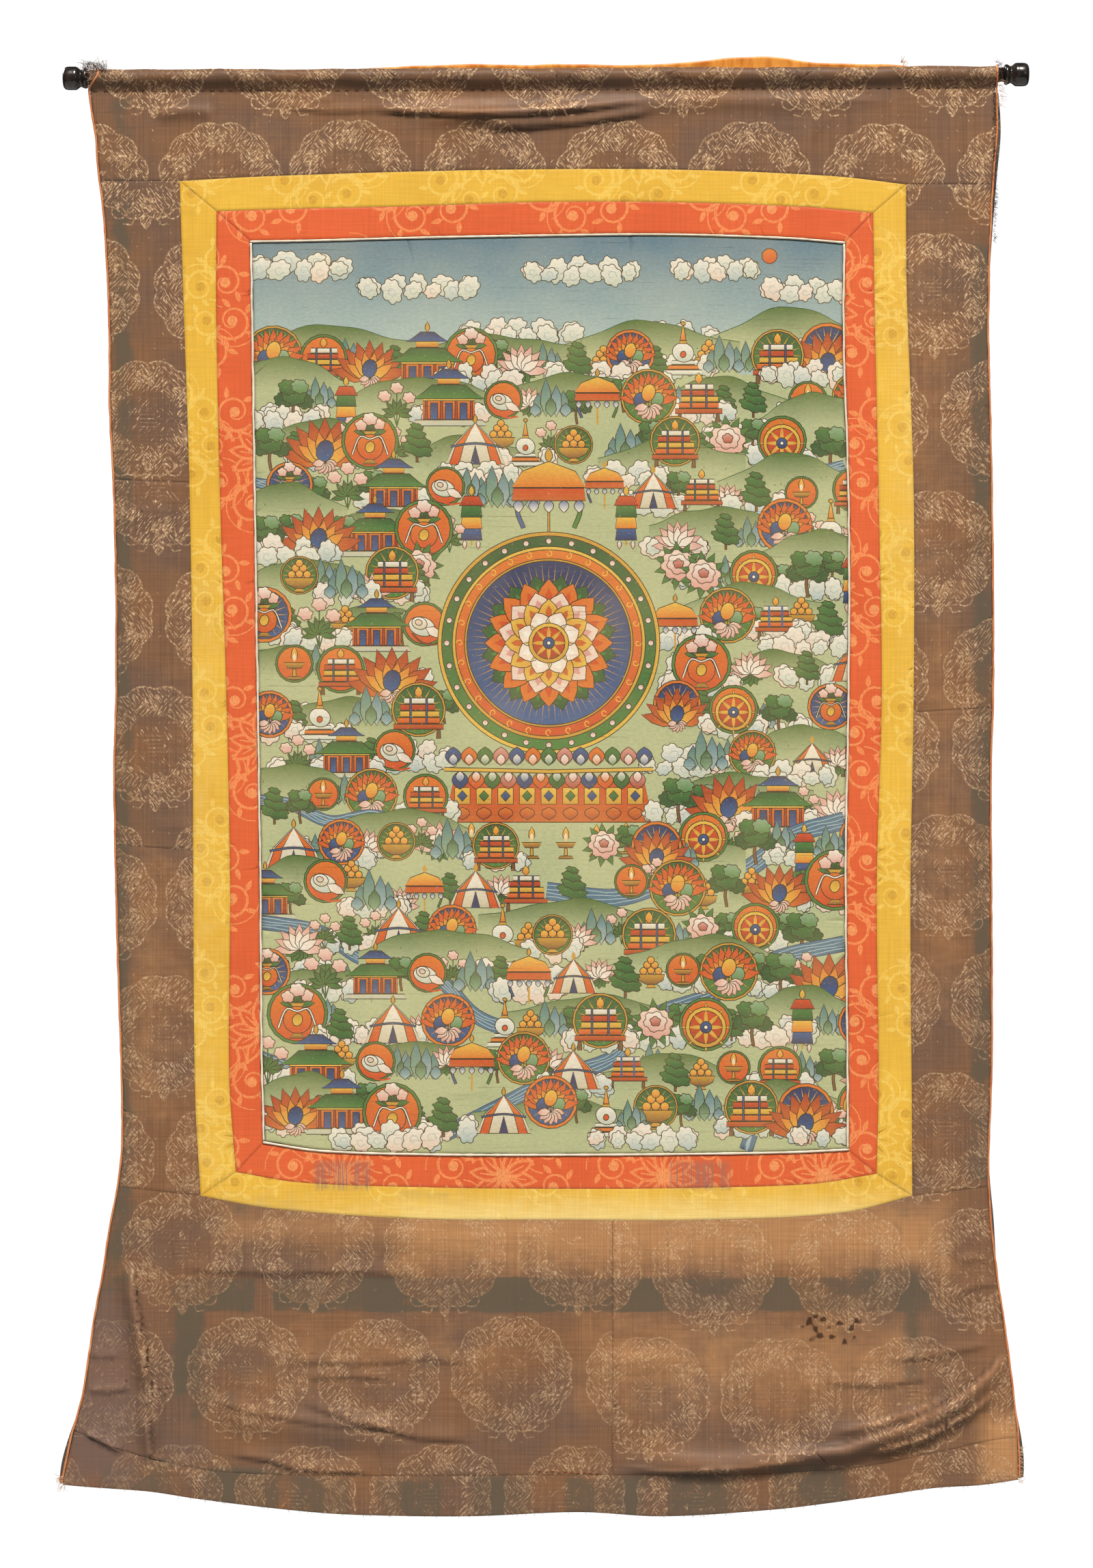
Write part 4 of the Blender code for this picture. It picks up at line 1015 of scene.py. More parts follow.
# strokes: kind, colours from top to bottom or from root to tip, then numbers in shares of the size
motifs = {
    "glory": (
        ("disc", "gold", 0, 0, 0.5, 0.5), ("disc", "leaf green", 0, 0, 0.46, 0.46),
        ("fan", "gold", 0, 0, 18, 0, 340, 0.44, 0.025),
    ),
    "halo": (
        ("disc", "green", 0, 0, 0.5, 0.5), ("disc", "orange vermilion", 0, 0, 0.45, 0.45),
    ),
    "night": (
        ("disc", "orange", 0, 0, 0.5, 0.5), ("disc", "night blue", 0, 0, 0.44, 0.44),
        ("fan", "gold", 0, 0, 18, 0, 340, 0.42, 0.02),
    ),
    "jewels": (
        ("fan", "orange vermilion", 0, 0.05, 11, -170, -10, 0.6, 0.22),
        ("fan", "yellow orange", 0, 0.05, 8, -155, -25, 0.42, 0.18),
        ("disc", "blue night", -0.17, 0, 0.13, 0.16), ("disc", "moss green", 0.17, 0, 0.13, 0.16),
        ("disc", "yellow orange", 0, -0.14, 0.14, 0.18),
        ("fan", "petal pink", 0, 0.12, 7, 10, 170, 0.3, 0.18),
    ),
    "vase": (
        ("fan", "leaf green", 0, -0.22, 9, -175, -5, 0.32, 0.14),
        ("puff", "petal pink", -0.17, -0.36, 0.11, 0.1, 5),
        ("puff", "petal pink", 0.17, -0.38, 0.11, 0.1, 5), ("puff", "white pink", 0, -0.48, 0.13, 0.11, 6),
        ("taper", "gold", 0, -0.26, 0.26, -0.16, 0.14), ("disc", "orange vermilion", 0, 0.05, 0.26, 0.25),
        ("disc", "gold yellow", 0, 0.05, 0.1, 0.12), ("taper", "gold brown", 0, 0.28, 0.14, 0.38, 0.3),
        ("line", "white", 0.05, -0.34, 0.2, -0.2, -0.14, 0, -0.1, 0.2, -0.14, 0.34, 0.2),
    ),
    "stupa": (
        ("taper", "white shade", 0, 0.38, 0.8, 0.5, 0.84), ("taper", "orange", 0, 0.28, 0.62, 0.38, 0.66),
        ("taper", "white shade", 0, 0.18, 0.46, 0.28, 0.5), ("disc", "white shade", 0, 0.02, 0.24, 0.21),
        ("taper", "gold", 0, -0.24, 0.14, -0.16, 0.18),
        ("taper", "yellow orange", 0, -0.56, 0.03, -0.24, 0.14), ("disc", "vermilion", 0, 0.06, 0.07, 0.08),
        ("disc", "gold", 0, -0.59, 0.06, 0.05),
    ),
    "pavilion": (
        ("taper", "stone shade", 0, 0.4, 1.2, 0.52, 1.3),
        ("taper", "orange vermilion", 0, 0, 0.92, 0.4, 0.92),
        *(("taper", "night blue", x, 0.1, 0.14, 0.4, 0.14) for x in (-0.26, 0, 0.26)),
        *(("taper", "red", x, 0, 0.05, 0.4, 0.06) for x in (-0.4, -0.13, 0.13, 0.4)),
        ("line", "yellow", 0.05, -0.46, 0.05, 0.46, 0.05),
        ("shape", "leaf green", -0.64, 0.04, -0.46, -0.08, -0.3, -0.22, 0.3, -0.22, 0.46, -0.08, 0.64,
          0.04),
        ("taper", "yellow robe", 0, -0.34, 0.4, -0.22, 0.4),
        ("shape", "night blue", -0.38, -0.32, -0.25, -0.4, -0.12, -0.5, 0.12, -0.5, 0.25, -0.4, 0.38,
          -0.32),
        ("spike", "gold", 0, -0.48, -90, 0.2, 0.1),
    ),
    "parasol": (
        ("line", "gold", 0.035, 0, -0.3, 0, 0.55),
        *(("line", colour, 0.06, x, 0, 1.25 * x, 0.2, x, 0.42)
          for x, colour in ((-0.3, "blue"), (0.3, "green"))),
        ("taper", "vermilion robe", 0, -0.06, 0.84, 0.1, 0.88),
        ("shape", "yellow orange", -0.44, -0.06, -0.32, -0.26, 0, -0.38, 0.32, -0.26, 0.44, -0.06),
        *(("spike", "blue white", x, 0.08, 90, 0.16, 0.13) for x in (-0.36, -0.18, 0, 0.18, 0.36)),
        ("spike", "gold", 0, -0.36, -90, 0.18, 0.1),
    ),
    "banner": (
        ("line", "gold", 0.035, 0, -0.5, 0, 0.62),
        *(("taper", colours, 0, y, 0.36, y + 0.24, 0.42)
          for y, colours in ((0.28, "blue night"), (0.06, "yellow orange"), (-0.16, "green leaf"))),
        ("shape", "vermilion red", -0.24, -0.14, -0.14, -0.34, 0.14, -0.34, 0.24, -0.14),
        ("spike", "gold yellow", 0, -0.32, -90, 0.22, 0.13),
        *(("spike", "white pink", x, 0.5, 90, 0.2, 0.1) for x in (-0.13, 0.13)),
    ),
    "bowl": (
        *(("disc", "yellow orange", x, y, 0.12, 0.12)
          for x, y in ((-0.22, -0.08), (0.22, -0.08), (0, -0.1), (-0.11, -0.26), (0.11, -0.26), (0, -0.4))),
        ("shape", "gold brown", -0.42, 0, -0.36, 0.2, -0.14, 0.32, 0.14, 0.32, 0.36, 0.2, 0.42, 0),
        ("taper", "gold", 0, 0.3, 0.16, 0.42, 0.34),
    ),
    "books": (
        ("taper", "robe red", 0, 0.22, 1.0, 0.34, 1.0),
        *(("taper", "brown", x, 0.34, 0.08, 0.52, 0.1) for x in (-0.4, 0.4)),
        *(("taper", colours, x, y, w, y + 0.13, w)
          for y, w, x, colours in ((0.09, 0.84, 0, "orange vermilion"),
           (-0.04, 0.78, 0.02, "yellow gold"), (-0.17, 0.7, -0.02, "vermilion red"),
           (-0.3, 0.6, 0.01, "white stone"))),
        *(("line", "blue", 0.05, x, -0.3, x, 0.22) for x in (-0.16, 0.16)),
        ("spike", "orange yellow", 0, -0.28, -90, 0.26, 0.18),
    ),
    "conch": (
        ("disc", "white shade", -0.06, 0, 0.34, 0.24), ("spike", "white blush", 0.02, 0.02, 28, 0.52, 0.26),
        ("disc", "white stone", -0.12, -0.08, 0.2, 0.16), ("disc", "blush", -0.14, -0.1, 0.1, 0.08),
        ("line", "vermilion", 0.05, -0.3, 0.16, -0.1, 0.36, 0.16, 0.44, 0.4, 0.4),
    ),
    "lotus": (
        ("fan", "leaf green", 0, 0.22, 7, 0, 180, 0.36, 0.22),
        ("fan", "petal pink", 0, 0.25, 9, -180, 0, 0.6, 0.24),
        ("fan", "white petal", 0, 0.26, 5, -150, -30, 0.46, 0.22),
    ),
    "peony": (
        ("fan", "leaf green", 0, 0, 11, 0, 330, 0.56, 0.2), ("puff", "petal pink", 0, 0, 0.34, 0.3, 8),
        ("puff", "white pink", 0, -0.03, 0.23, 0.2, 6), ("puff", "pink red", 0, -0.04, 0.11, 0.1, 5),
    ),
    "wheel": (
        ("fan", "gold yellow", 0, 0, 8, 0, 315, 0.52, 0.12), ("disc", "yellow gold", 0, 0, 0.42, 0.42),
        ("disc", "vermilion red", 0, 0, 0.34, 0.34), ("fan", "yellow gold", 0, 0, 8, 0, 315, 0.36, 0.08),
        ("disc", "blue night", 0, 0, 0.13, 0.13), ("disc", "white", 0, 0, 0.05, 0.05),
    ),
    "tent": (
        ("shape", "white stone", -0.56, 0.4, -0.4, 0, 0, -0.4, 0.4, 0, 0.56, 0.4),
        *(("shape", "orange vermilion", x, 0.4, 0.72 * x, 0, 0, -0.38, 0.4 * x, 0, 0.6 * x, 0.4)
          for x in (-0.5, 0.5)),
        ("shape", "night", -0.1, 0.4, 0, 0.02, 0.1, 0.4),
        ("line", "blue", 0.05, -0.46, 0.06, 0, 0, 0.46, 0.06), ("spike", "gold", 0, -0.36, -90, 0.2, 0.1),
    ),
    "lamp": (
        ("spike", "orange yellow", 0, -0.1, -90, 0.46, 0.22),
        ("spike", "yellow white", 0, -0.1, -90, 0.26, 0.12),
        ("shape", "gold brown", -0.3, -0.1, -0.2, 0.08, 0.2, 0.08, 0.3, -0.1),
        ("taper", "gold", 0, 0.08, 0.1, 0.3, 0.12), ("taper", "gold brown", 0, 0.3, 0.36, 0.4, 0.46),
    ),
    "tree": (
        ("line", "brown", 0.08, 0.02, 0.5, -0.02, 0.2, 0.03, -0.1),
        *(("puff", colours, x, y, r, 0.8 * r, 7)
          for x, y, r, colours in ((-0.24, -0.02, 0.2, "leaf"), (0.24, 0, 0.2, "leaf"),
           (0, -0.14, 0.26, "green leaf"), (-0.14, -0.32, 0.2, "green leaf"),
           (0.14, -0.34, 0.19, "moss green"))),
    ),
    "pine": (
        ("line", "brown", 0.07, 0, 0.5, 0, 0),
        *(("puff", "green leaf", x, y, r, 0.5 * r, 7)
          for x, y, r in ((0, 0.16, 0.34), (0.03, -0.02, 0.28), (-0.02, -0.2, 0.22), (0, -0.36, 0.15))),
    ),
    "rocks": tuple(
        ("spike", colours, x, 0.4, -90, h, 0.3) for x, h, colours in ((-0.3, 0.6, "moss rock"),
        (0.3, 0.66, "moss rock"), (-0.12, 0.95, "moss rock"), (0.13, 0.8, "haze rock"),
        (0, 0.5, "moss leaf"), (0.36, 0.36, "haze rock"), (-0.38, 0.34, "haze rock"))
    ),
    "flame": (
        ("fan", "orange red", 0, 0.4, 9, -165, -15, 0.85, 0.3),
        ("fan", "yellow orange", 0, 0.4, 6, -145, -35, 0.6, 0.24),
        ("disc", "night blue", 0, 0.16, 0.16, 0.2), ("fan", "petal pink", 0, 0.36, 7, 10, 170, 0.24, 0.16),
    ),
    "spray": (
        *(("line", "leaf", 0.03, 0, 0.5, 0.4 * x, 0.1, x, y)
          for x, y in ((-0.3, -0.2), (0.3, -0.16), (0, -0.4))),
        ("fan", "green leaf", 0, 0.2, 8, -190, 10, 0.4, 0.15),
        *(("puff", "petal pink", x, y, 0.15, 0.13, 6)
          for x, y in ((-0.3, -0.24), (0.3, -0.2), (0, -0.44))),
    ),
}


scenery = {
    # crest of each hill: across, down, width, height
    "hills": (
        (-190, 236, 170, 16), (-40, 240, 150, 12), (90, 236, 160, 20), (215, 230, 150, 26),
        (-235, 268, 120, 22),
        (-110, 282, 140, 18), (30, 276, 150, 14), (150, 285, 130, 20), (240, 300, 110, 22),
        (-200, 322, 130, 20),
        (-70, 330, 120, 14), (110, 335, 130, 16), (215, 356, 130, 24), (-230, 378, 110, 20),
        (-140, 398, 120, 18),
        (150, 396, 120, 18), (238, 420, 100, 22), (-210, 446, 130, 22), (-150, 478, 90, 14),
        (180, 466, 130, 20),
        (-232, 520, 110, 20), (205, 526, 120, 22), (150, 560, 90, 14), (-180, 566, 130, 20),
        (228, 588, 100, 18),
        (-225, 622, 110, 18), (170, 630, 130, 18), (-130, 660, 130, 16), (120, 680, 110, 14),
        (-215, 706, 110, 20),
        (20, 740, 160, 16), (215, 716, 110, 16), (-90, 768, 150, 18), (140, 775, 140, 20),
        (-200, 800, 120, 18),
        (40, 826, 160, 18), (225, 820, 110, 20), (-110, 868, 150, 20), (110, 880, 150, 20),
        (-215, 896, 110, 20),
        (10, 912, 150, 14), (210, 905, 120, 22),
    ),
    # course of each river and its width
    "rivers": (
        (10, (-262, 636), (-225, 640), (-190, 655), (-150, 650), (-105, 668), (-60, 690)),
        (15, (262, 654), (215, 668), (170, 700), (110, 708), (60, 722), (0, 716)),
        (12, (-262, 742), (-200, 752), (-160, 776), (-100, 790), (-62, 826), (-20, 842)),
        (13, (262, 762), (200, 776), (150, 806), (95, 826), (60, 862), (10, 880), (-40, 905), (-90, 930)),
        (9, (262, 342), (225, 352), (190, 372), (165, 392)), (8, (-262, 356), (-235, 362), (-190, 384)),
        (11, (262, 868), (222, 880), (190, 906), (175, 944)),
        (10, (-262, 858), (-225, 872), (-190, 890), (-150, 932)),
    ),
    # middle of each bank of cloud, its width and height
    "clouds": (
        (-216, 168, 70, 18), (-110, 186, 90, 14), (30, 172, 90, 12), (150, 170, 60, 12), (228, 188, 60, 16),
        (-24, 226, 90, 16), (110, 228, 70, 16), (-190, 250, 70, 14), (226, 262, 60, 16), (-60, 266, 60, 16),
        (-232, 302, 50, 18), (74, 268, 60, 16), (180, 318, 70, 18), (-60, 350, 60, 14), (72, 352, 60, 14),
        (-226, 418, 70, 18), (228, 404, 60, 16), (150, 440, 60, 20), (-146, 450, 50, 24), (-130, 530, 40, 28),
        (136, 520, 40, 30), (-236, 560, 50, 18), (226, 500, 60, 18), (-116, 600, 60, 26), (120, 604, 60, 26),
        (216, 616, 60, 14), (-180, 678, 70, 14), (226, 684, 50, 14), (-30, 790, 80, 16), (-226, 788, 60, 16),
        (190, 838, 80, 18), (-150, 842, 80, 16), (84, 934, 80, 14), (-140, 934, 80, 12), (242, 930, 40, 14),
    ),
    # what stands about, in turn, and its size; a disc of light is behind some
    "things": (
        ("jewels", 44, "glory"), ("books", 40, "halo"), ("tree", 36, ""), ("flame", 46, ""),
        ("pavilion", 50, ""),
        ("vase", 46, "halo"), ("lotus", 38, ""), ("pine", 34, ""), ("tent", 44, ""), ("jewels", 42, "night"),
        ("stupa", 40, ""), ("bowl", 34, "glory"), ("rocks", 36, ""), ("books", 42, "glory"),
        ("peony", 38, ""),
        ("flame", 42, "night"), ("wheel", 42, "halo"), ("tree", 38, ""), ("banner", 44, ""),
        ("vase", 42, "night"),
        ("spray", 38, ""), ("pavilion", 46, ""), ("conch", 34, "halo"), ("rocks", 40, ""),
        ("parasol", 42, ""),
        ("jewels", 42, "glory"), ("tent", 40, ""), ("books", 38, ""), ("pine", 36, ""), ("lamp", 30, "halo"),
    ),
    "fillers": ("tree", "rocks", "pine", "spray", "lotus", "rocks", "tree", "bowl"),
    "lattice": (-244, 246, 45.0, 39.0),  # left, top, and the steps across and down
    "clear": (2, 520, 106, 168),  # kept free for the medallion: its middle and half sizes
    "around": (
        ("parasol", 2, 366, 74), ("banner", -66, 384, 46), ("banner", 70, 384, 46), ("peony", -112, 430, 40),
        ("peony", 116, 430, 40), ("lamp", -66, 672, 30), ("lamp", -40, 674, 30), ("lamp", -13, 676, 30),
        ("lamp", 17, 676, 30), ("lamp", 44, 674, 30), ("lamp", 70, 672, 30), ("lotus", -94, 668, 40),
        ("lotus", 98, 668, 40),
    ),
    "inkWidth": 0.75,
    "medallion": (2, 498, 98),
}


def inked(design, points, colours, start=None, run=None, line=None):
    # an ink outline with its colour inside, from the first colour to the last
    points = np.array(points, float)
    first, *rest = [paints[name] for name in colours.split()]
    low, high = points[:, 1].min(), points[:, 1].max()
    if start is None:
        start, run = (0, low), (0, high - low)
    width = scenery["inkWidth"] if line is None else line
    if width:
        draw(design, points, paints["ink"])
    draw(design, inset(points, width) if width else points, first, rest[0] if rest else None, start, run)


def stroke(design, kind, colours, x, y, size, numbers):
    n = numbers
    if kind in ("disc", "puff"):
        lobes = n[4] if kind == "puff" else 0
        count = 3 * lobes if lobes else (18 if n[2] * size > 6 else 10)
        place, reach = (x + n[0] * size, y + n[1] * size), (n[2] * size, n[3] * size)
        inked(design, ellipse(*place, *reach, count, 0.3, lobes, 0.22), colours)
    elif kind in ("spike", "fan"):
        angles = (n[2],) if kind == "spike" else np.linspace(n[3], n[4], n[2])
        length, width = n[-2] * size, n[-1] * size
        for angle in angles:
            root = np.array((x + n[0] * size, y + n[1] * size))
            away = np.array((math.cos(math.radians(angle)), math.sin(math.radians(angle)))) * length
            thin = 0 if width < 4.2 else None
            count = 4 if size < 60 else 7
            inked(design, petal(*root, angle, length, width, count), colours, root, away, thin)
    elif kind == "taper":
        middle, top, topWide, bottom, bottomWide = n
        inked(design, [(x + (middle + s * w / 2) * size, y + h * size) for s, w, h in (
            (-1, topWide, top), (1, topWide, top), (1, bottomWide, bottom), (-1, bottomWide, bottom))],
            colours)
    else:
        places = np.array(n[1:] if kind == "line" else n, float).reshape(-1, 2) * size + (x, y)
        if kind == "line":
            steps = np.arange(len(places))
            fine = np.linspace(0, len(places) - 1, 3 * len(places))
            smooth = np.stack([through(np.stack([steps, places[:, i]], 1), 1, fine) for i in (0, 1)], 1)
            places = ribbon(smooth, max(n[0] * size, 0.7))
        inked(design, places, colours, line=0 if kind == "line" and n[0] * size < 1.8 else None)


def drawMotif(design, name, x, y, size):
    for kind, colours, *numbers in motifs[name]:
        stroke(design, kind, colours, x, y, size, numbers)


def drawHill(design, x, y, width, height):
    t = np.linspace(-1, 1, 22)
    sway = chance.uniform(0, 6)
    uneven = 1.6 * np.sin(5 * t + sway) + 0.9 * np.sin(11 * t - sway)
    crest = y - height * (np.cos(t * math.pi / 2) ** 1.3) + uneven
    line = np.stack([x + t * width / 2, crest], 1)
    draw(design, np.vstack([line - (0, 0.7), [(x + width / 2, y + 4), (x - width / 2, y + 4)]]),
         paints["leaf"])
    foot = y + 26
    draw(design, np.vstack([line, [(x + width / 2, foot), (x - width / 2, foot)]]), paints["crest"],
         paints["ground"], (0, y - height), (0, 30))
    for _ in range(8):  # tufts of grass
        gx, gy = x + chance.uniform(-0.4, 0.4) * width, y + chance.uniform(-0.2 * height, 16)
        draw(design, petal(gx, gy, -90 + chance.uniform(-30, 30), chance.uniform(2, 3.6), 0.7, 3),
             paints["leaf"])


def drawCloud(design, x, y, width, height):
    for lower in (0, 1):
        for share in np.linspace(-0.5, 0.5, max(2, round(width / 17)) + lower):
            px = x + (share + chance.uniform(-0.04, 0.04)) * width
            py = y - height * (0.5 - 2 * share * share) * (0.6 - lower) + chance.uniform(-1.5, 1.5)
            r = chance.uniform(8, 11.5) - lower
            tint = chance.choice(("shade", "mist", "blush", "shade"))
            inked(design, ellipse(px, py, r, 0.78 * r, 21, chance.uniform(0, 3), 7, 0.22), f"cloud {tint}")
            curl = arcLine(px, py, 0.5 * r, 20, 340 if chance.random() < 0.5 else -300, 6, 0.2 * r)
            draw(design, ribbon(curl, 0.8, 0.5), paints["mist"])


def drawRiver(design, width, *course):
    steps = np.arange(len(course))
    fine = np.linspace(0, len(course) - 1, 6 * len(course))
    line = np.stack([through([(k, *p) for k, p in zip(steps, course)], i, fine) for i in (1, 2)], 1)
    line = line[abs(line[:, 0] - 2) < 262]
    draw(design, ribbon(line, width + 1.2), paints["night"])
    draw(design, ribbon(line, width), paints["water"])
    for offset in (-0.34, -0.12, 0.1, 0.32):
        wave = np.sin(np.arange(len(line)) * 1.7 + offset * 9) * 0.5
        draw(design, ribbon(line + np.stack([0 * wave, offset * width + wave], 1), 0.65), paints["ripple"])


def drawMedallion(design):
    # an open lotus round an eight-spoked wheel, in rings of scrolls and rays
    x, y, r = scenery["medallion"]
    for share, colours in ((1.0, "gold yellow"), (0.965, "leaf green"), (0.87, "yellow gold"),
                           (0.84, "orange vermilion"), (0.76, "gold"), (0.74, "night blue")):
        inked(design, ellipse(x, y, share * r, share * r, 96), colours)
    for k in range(28):
        c, s = r * math.cos(math.radians(k * 360 / 28)), r * math.sin(math.radians(k * 360 / 28))
        inked(design, ellipse(x + 0.915 * c, y + 0.915 * s, 0.03 * r, count=10), "pink white")
        curl = arcLine(x + 0.8 * c, y + 0.8 * s, 0.033 * r, k * 13, k * 13 + 300, 8, 0.012 * r)
        draw(design, ribbon(curl, 0.8), paints["yellow"])
    for k in range(72):
        draw(design, petal(x, y, k * 5, (0.73 if k % 2 else 0.7) * r, 1.1, 4), paints["gold"])
    for count, length, width, colours, turn in (
            (16, 0.62, 0.26, "green leaf", 11), (16, 0.58, 0.24, "vermilion orange", 0),
            (12, 0.47, 0.25, "pink petal", 15),
            (12, 0.4, 0.2, "robe yellow", 0), (8, 0.3, 0.2, "white petal", 22)):
        for k in range(count):
            a = k * 360 / count + turn
            away = np.array((math.cos(math.radians(a)), math.sin(math.radians(a)))) * length * r
            inked(design, petal(x, y, a, length * r, width * r, 8, 0.6), colours, (x, y), away)
            tip = petal(x + 0.55 * away[0], y + 0.55 * away[1], a, 0.3 * length * r, 0.3 * width * r, 4)
            draw(design, tip, paints[colours.split()[0]])
    drawMotif(design, "wheel", x, y, 0.44 * r)


def drawAltar(design):
    # many-coloured petals over a cloth-hung table
    x, y = scenery["medallion"][0], scenery["medallion"][1] + 0.98 * scenery["medallion"][2]
    inked(design, [(x - 84, y + 26), (x + 84, y + 26), (x + 92, y + 62), (x - 92, y + 62)], "vermilion robe")
    for k in range(9):
        cx = x - 76 + 19 * k
        inked(design, [(cx - 7, y + 31), (cx + 7, y + 31), (cx + 7, y + 46), (cx - 7, y + 46)], "yellow gold")
        inked(design, ellipse(cx, y + 38.5, 4.6, 5.2, 4), ("blue night", "green leaf")[k % 2])
        inked(design, petal(cx, y + 48, 90, 12, 14, 6), "orange red")
    for up, count, reach in ((1, 13, 84), (-1, 12, 78)):
        for k in range(count):
            cx = x + (2 * k / (count - 1) - 1) * reach
            colours = ("blue night", "orange vermilion", "green leaf", "pink red")[k % 4]
            inked(design, petal(cx, y + 14 - 2 * up, -90 * up, 17, 15, 8, 0.5), colours)
            inked(design, petal(cx, y + 14 - 2 * up, -90 * up, 11, 8.5, 6, 0.5),
                  "white " + colours.split()[0])
    inked(design, ribbon([(x - 92, y + 15), (x, y + 17), (x + 92, y + 15)], 4), "yellow gold")


def makeDesignOfPainting(outline):
    design = newDesign(outline, paints["ground"])
    (x0, y0), (x1, _) = outline.min(0), outline.max(0)
    draw(design, [(x0, y0), (x1, y0), (x1, 262), (x0, 262)], paints["sky"], paints["haze"], (0, y0), (0, 90))
    inked(design, ellipse(196, 158, 7, count=24), "orange vermilion")
    inked(design, ellipse(-196, 162, 7, count=24), "white stone")
    jobs = [(y, drawHill, (x, y, *rest)) for x, y, *rest in scenery["hills"]]
    jobs += [(course[0][1] + 12, drawRiver, (width, *course)) for width, *course in scenery["rivers"]]
    jobs += [(y, drawCloud, (x, y, *rest)) for x, y, *rest in scenery["clouds"]]
    jobs += [(y + 0.3 * size, drawMotif, (name, x, y, size)) for name, x, y, size in scenery["around"]]
    left, top, across, down = scenery["lattice"]
    clearX, clearY, clearWide, clearHigh = scenery["clear"]
    turn = 0
    for row in range(18):
        for column in range(12):
            x = left + (column + 0.5 * (row % 2)) * across + chance.uniform(-5, 5)
            y = top + row * down + chance.uniform(-5, 5)
            if ((x - clearX) / clearWide) ** 2 + ((y - clearY) / clearHigh) ** 2 < 1:
                continue
            name, size, back = scenery["things"][turn % len(scenery["things"])]
            turn += 1 if chance.random() < 0.8 else 2
            size *= chance.uniform(0.9, 1.1)
            if chance.random() < 0.35:
                jobs.append((y + 0.25 * size, drawCloud, (x, y + 0.3 * size, 1.1 * size, 0.3 * size)))
            if back:
                jobs.append((y + 0.3 * size, drawMotif, (back, x, y - 0.06 * size, 1.1 * size)))
            jobs.append((y + 0.31 * size, drawMotif, (name, x, y, size)))
            filler = chance.choice(scenery["fillers"])
            if chance.random() < 0.7:
                jobs.append((y + 8, drawMotif, (filler, x + 0.5 * across, y + chance.uniform(-6, 6), 30)))
    x, y, r = scenery["medallion"]
    jobs += [(y + 0.8 * r, drawMedallion, ()), (y + 1.3 * r, drawAltar, ())]
    for _, job, values in sorted(jobs, key=lambda row: row[0]):
        job(design, *values)
    return design


paintingNoises = {
    "brush": (0.25, 0.5, 5.0, 0.7), "broad": (0.012, 0.012, 4.0, 0.5), "crack": (0.012, 0.55, 4.0, 0.75),
    "flake": (0.35, 0.5, 6.0, 0.8), "weave": (1.4, 1.4, 1.0, 0.5),
}


def makePaintedCloth():
    # cotton, sized and painted in distemper: matt, brushed, crazed across where it is rolled up
    mat, tree, shader = startMaterial("cotton, sized and painted in distemper", 0.82, specular=0.2)
    brush, broad, crack, flake, weave = clothNoises(tree, paintingNoises)
    seam = add(tree, "Attribute", give=2, attribute_name="seam")
    finishMaterial(tree, shader, add(tree, "Attribute", attribute_name="design"), (
        ([], add(tree, "MapRange", [brush, 0.25, 0.75, 0.82, 1.14])),
        ([], add(tree, "MapRange", [broad, 0.3, 0.7, 0.9, 1.08])),
        ([add(tree, "MapRange", [broad, 0.35, 0.65, 0.06, 0.2])], "c9b37c"),  # yellowed
        ([add(tree, "MapRange", [flake, 0.6, 0.66]), 0.8], "cdbd98"),  # lost paint
        ([add(tree, "MapRange", [crack, 0.39, 0.34]), 0.4], "4b3d30"),  # crazing
        # painted shade along the edge, beside the cream piping
        ([], add(tree, "MapRange", [seam, 0.0, 1.0, 1.0, 0.6])),
    ), height=add(tree, "Math", [weave, 0.4, crack], operation="MULTIPLY_ADD"), bump=(0.25, 0.25))
    return mat


def makePainting():
    inside = 2 * (hanging["creamRadius"] + 0.3) - 0.15
    turns = {"tl": (1, 1), "tr": (-1, 1), "bl": (1, -1), "br": (-1, -1)}
    corners = {name: np.array(corner, float) + inside * np.array(turn)
               for (name, turn), corner in zip(turns.items(), hanging["corners"]["cream"])}

    def side(name, first, last):
        line = border("cream", name)

        def place(t):
            t = np.asarray(t, float)
            return (line(t) + np.outer(1 - t, corners[first] - line([0.0])[0])
                    + np.outer(t, corners[last] - line([1.0])[0]))

        return place

    outline = ring([side("top", "tl", "tr"), side("right", "tr", "br"),
                    partOf(side("bottom", "bl", "br"), 1, 0),
                    partOf(side("left", "tl", "bl"), 1, 0)], 4.0)
    clothPiece("painting", makeDesignOfPainting(outline), makePaintedCloth(), 7.5)


makePainting()
print("painting")


def tubeMesh(name, runs, sides):  # runs: places in space in metres, and their radii in millimetres
    vertices, faces = [], []
    angles = np.linspace(0, 2 * math.pi, sides, endpoint=False)
    for points, radii in runs:
        points = np.array(points, float)
        radii = np.broadcast_to(np.asarray(radii, float), len(points)) * mm
        along = np.gradient(points, axis=0)
        along /= np.maximum(np.linalg.norm(along, axis=1), 1e-12)[:, None]
        side = np.cross(along[0], (0.31, 0.22, 0.92) if abs(along[0][2]) < 0.8 else (0.2, 0.95, 0.24))
        first = len(vertices)
        for place, direction, radius in zip(points, along, radii):
            side = side - direction * (side @ direction)
            side /= np.linalg.norm(side)
            other = np.cross(direction, side)
            vertices += [tuple(place + radius * (math.cos(a) * side + math.sin(a) * other)) for a in angles]
        for r in range(len(points) - 1):
            a, b = first + r * sides, first + (r + 1) * sides
            faces += [(a + k, a + (k + 1) % sides, b + (k + 1) % sides, b + k) for k in range(sides)]
        last = first + (len(points) - 1) * sides
        faces.append(tuple(first + k for k in reversed(range(sides))))
        faces.append(tuple(last + k for k in range(sides)))
    mesh = bpy.data.meshes.new(name)
    mesh.from_pydata(vertices, [], faces)
    mesh.shade_smooth()
    return mesh


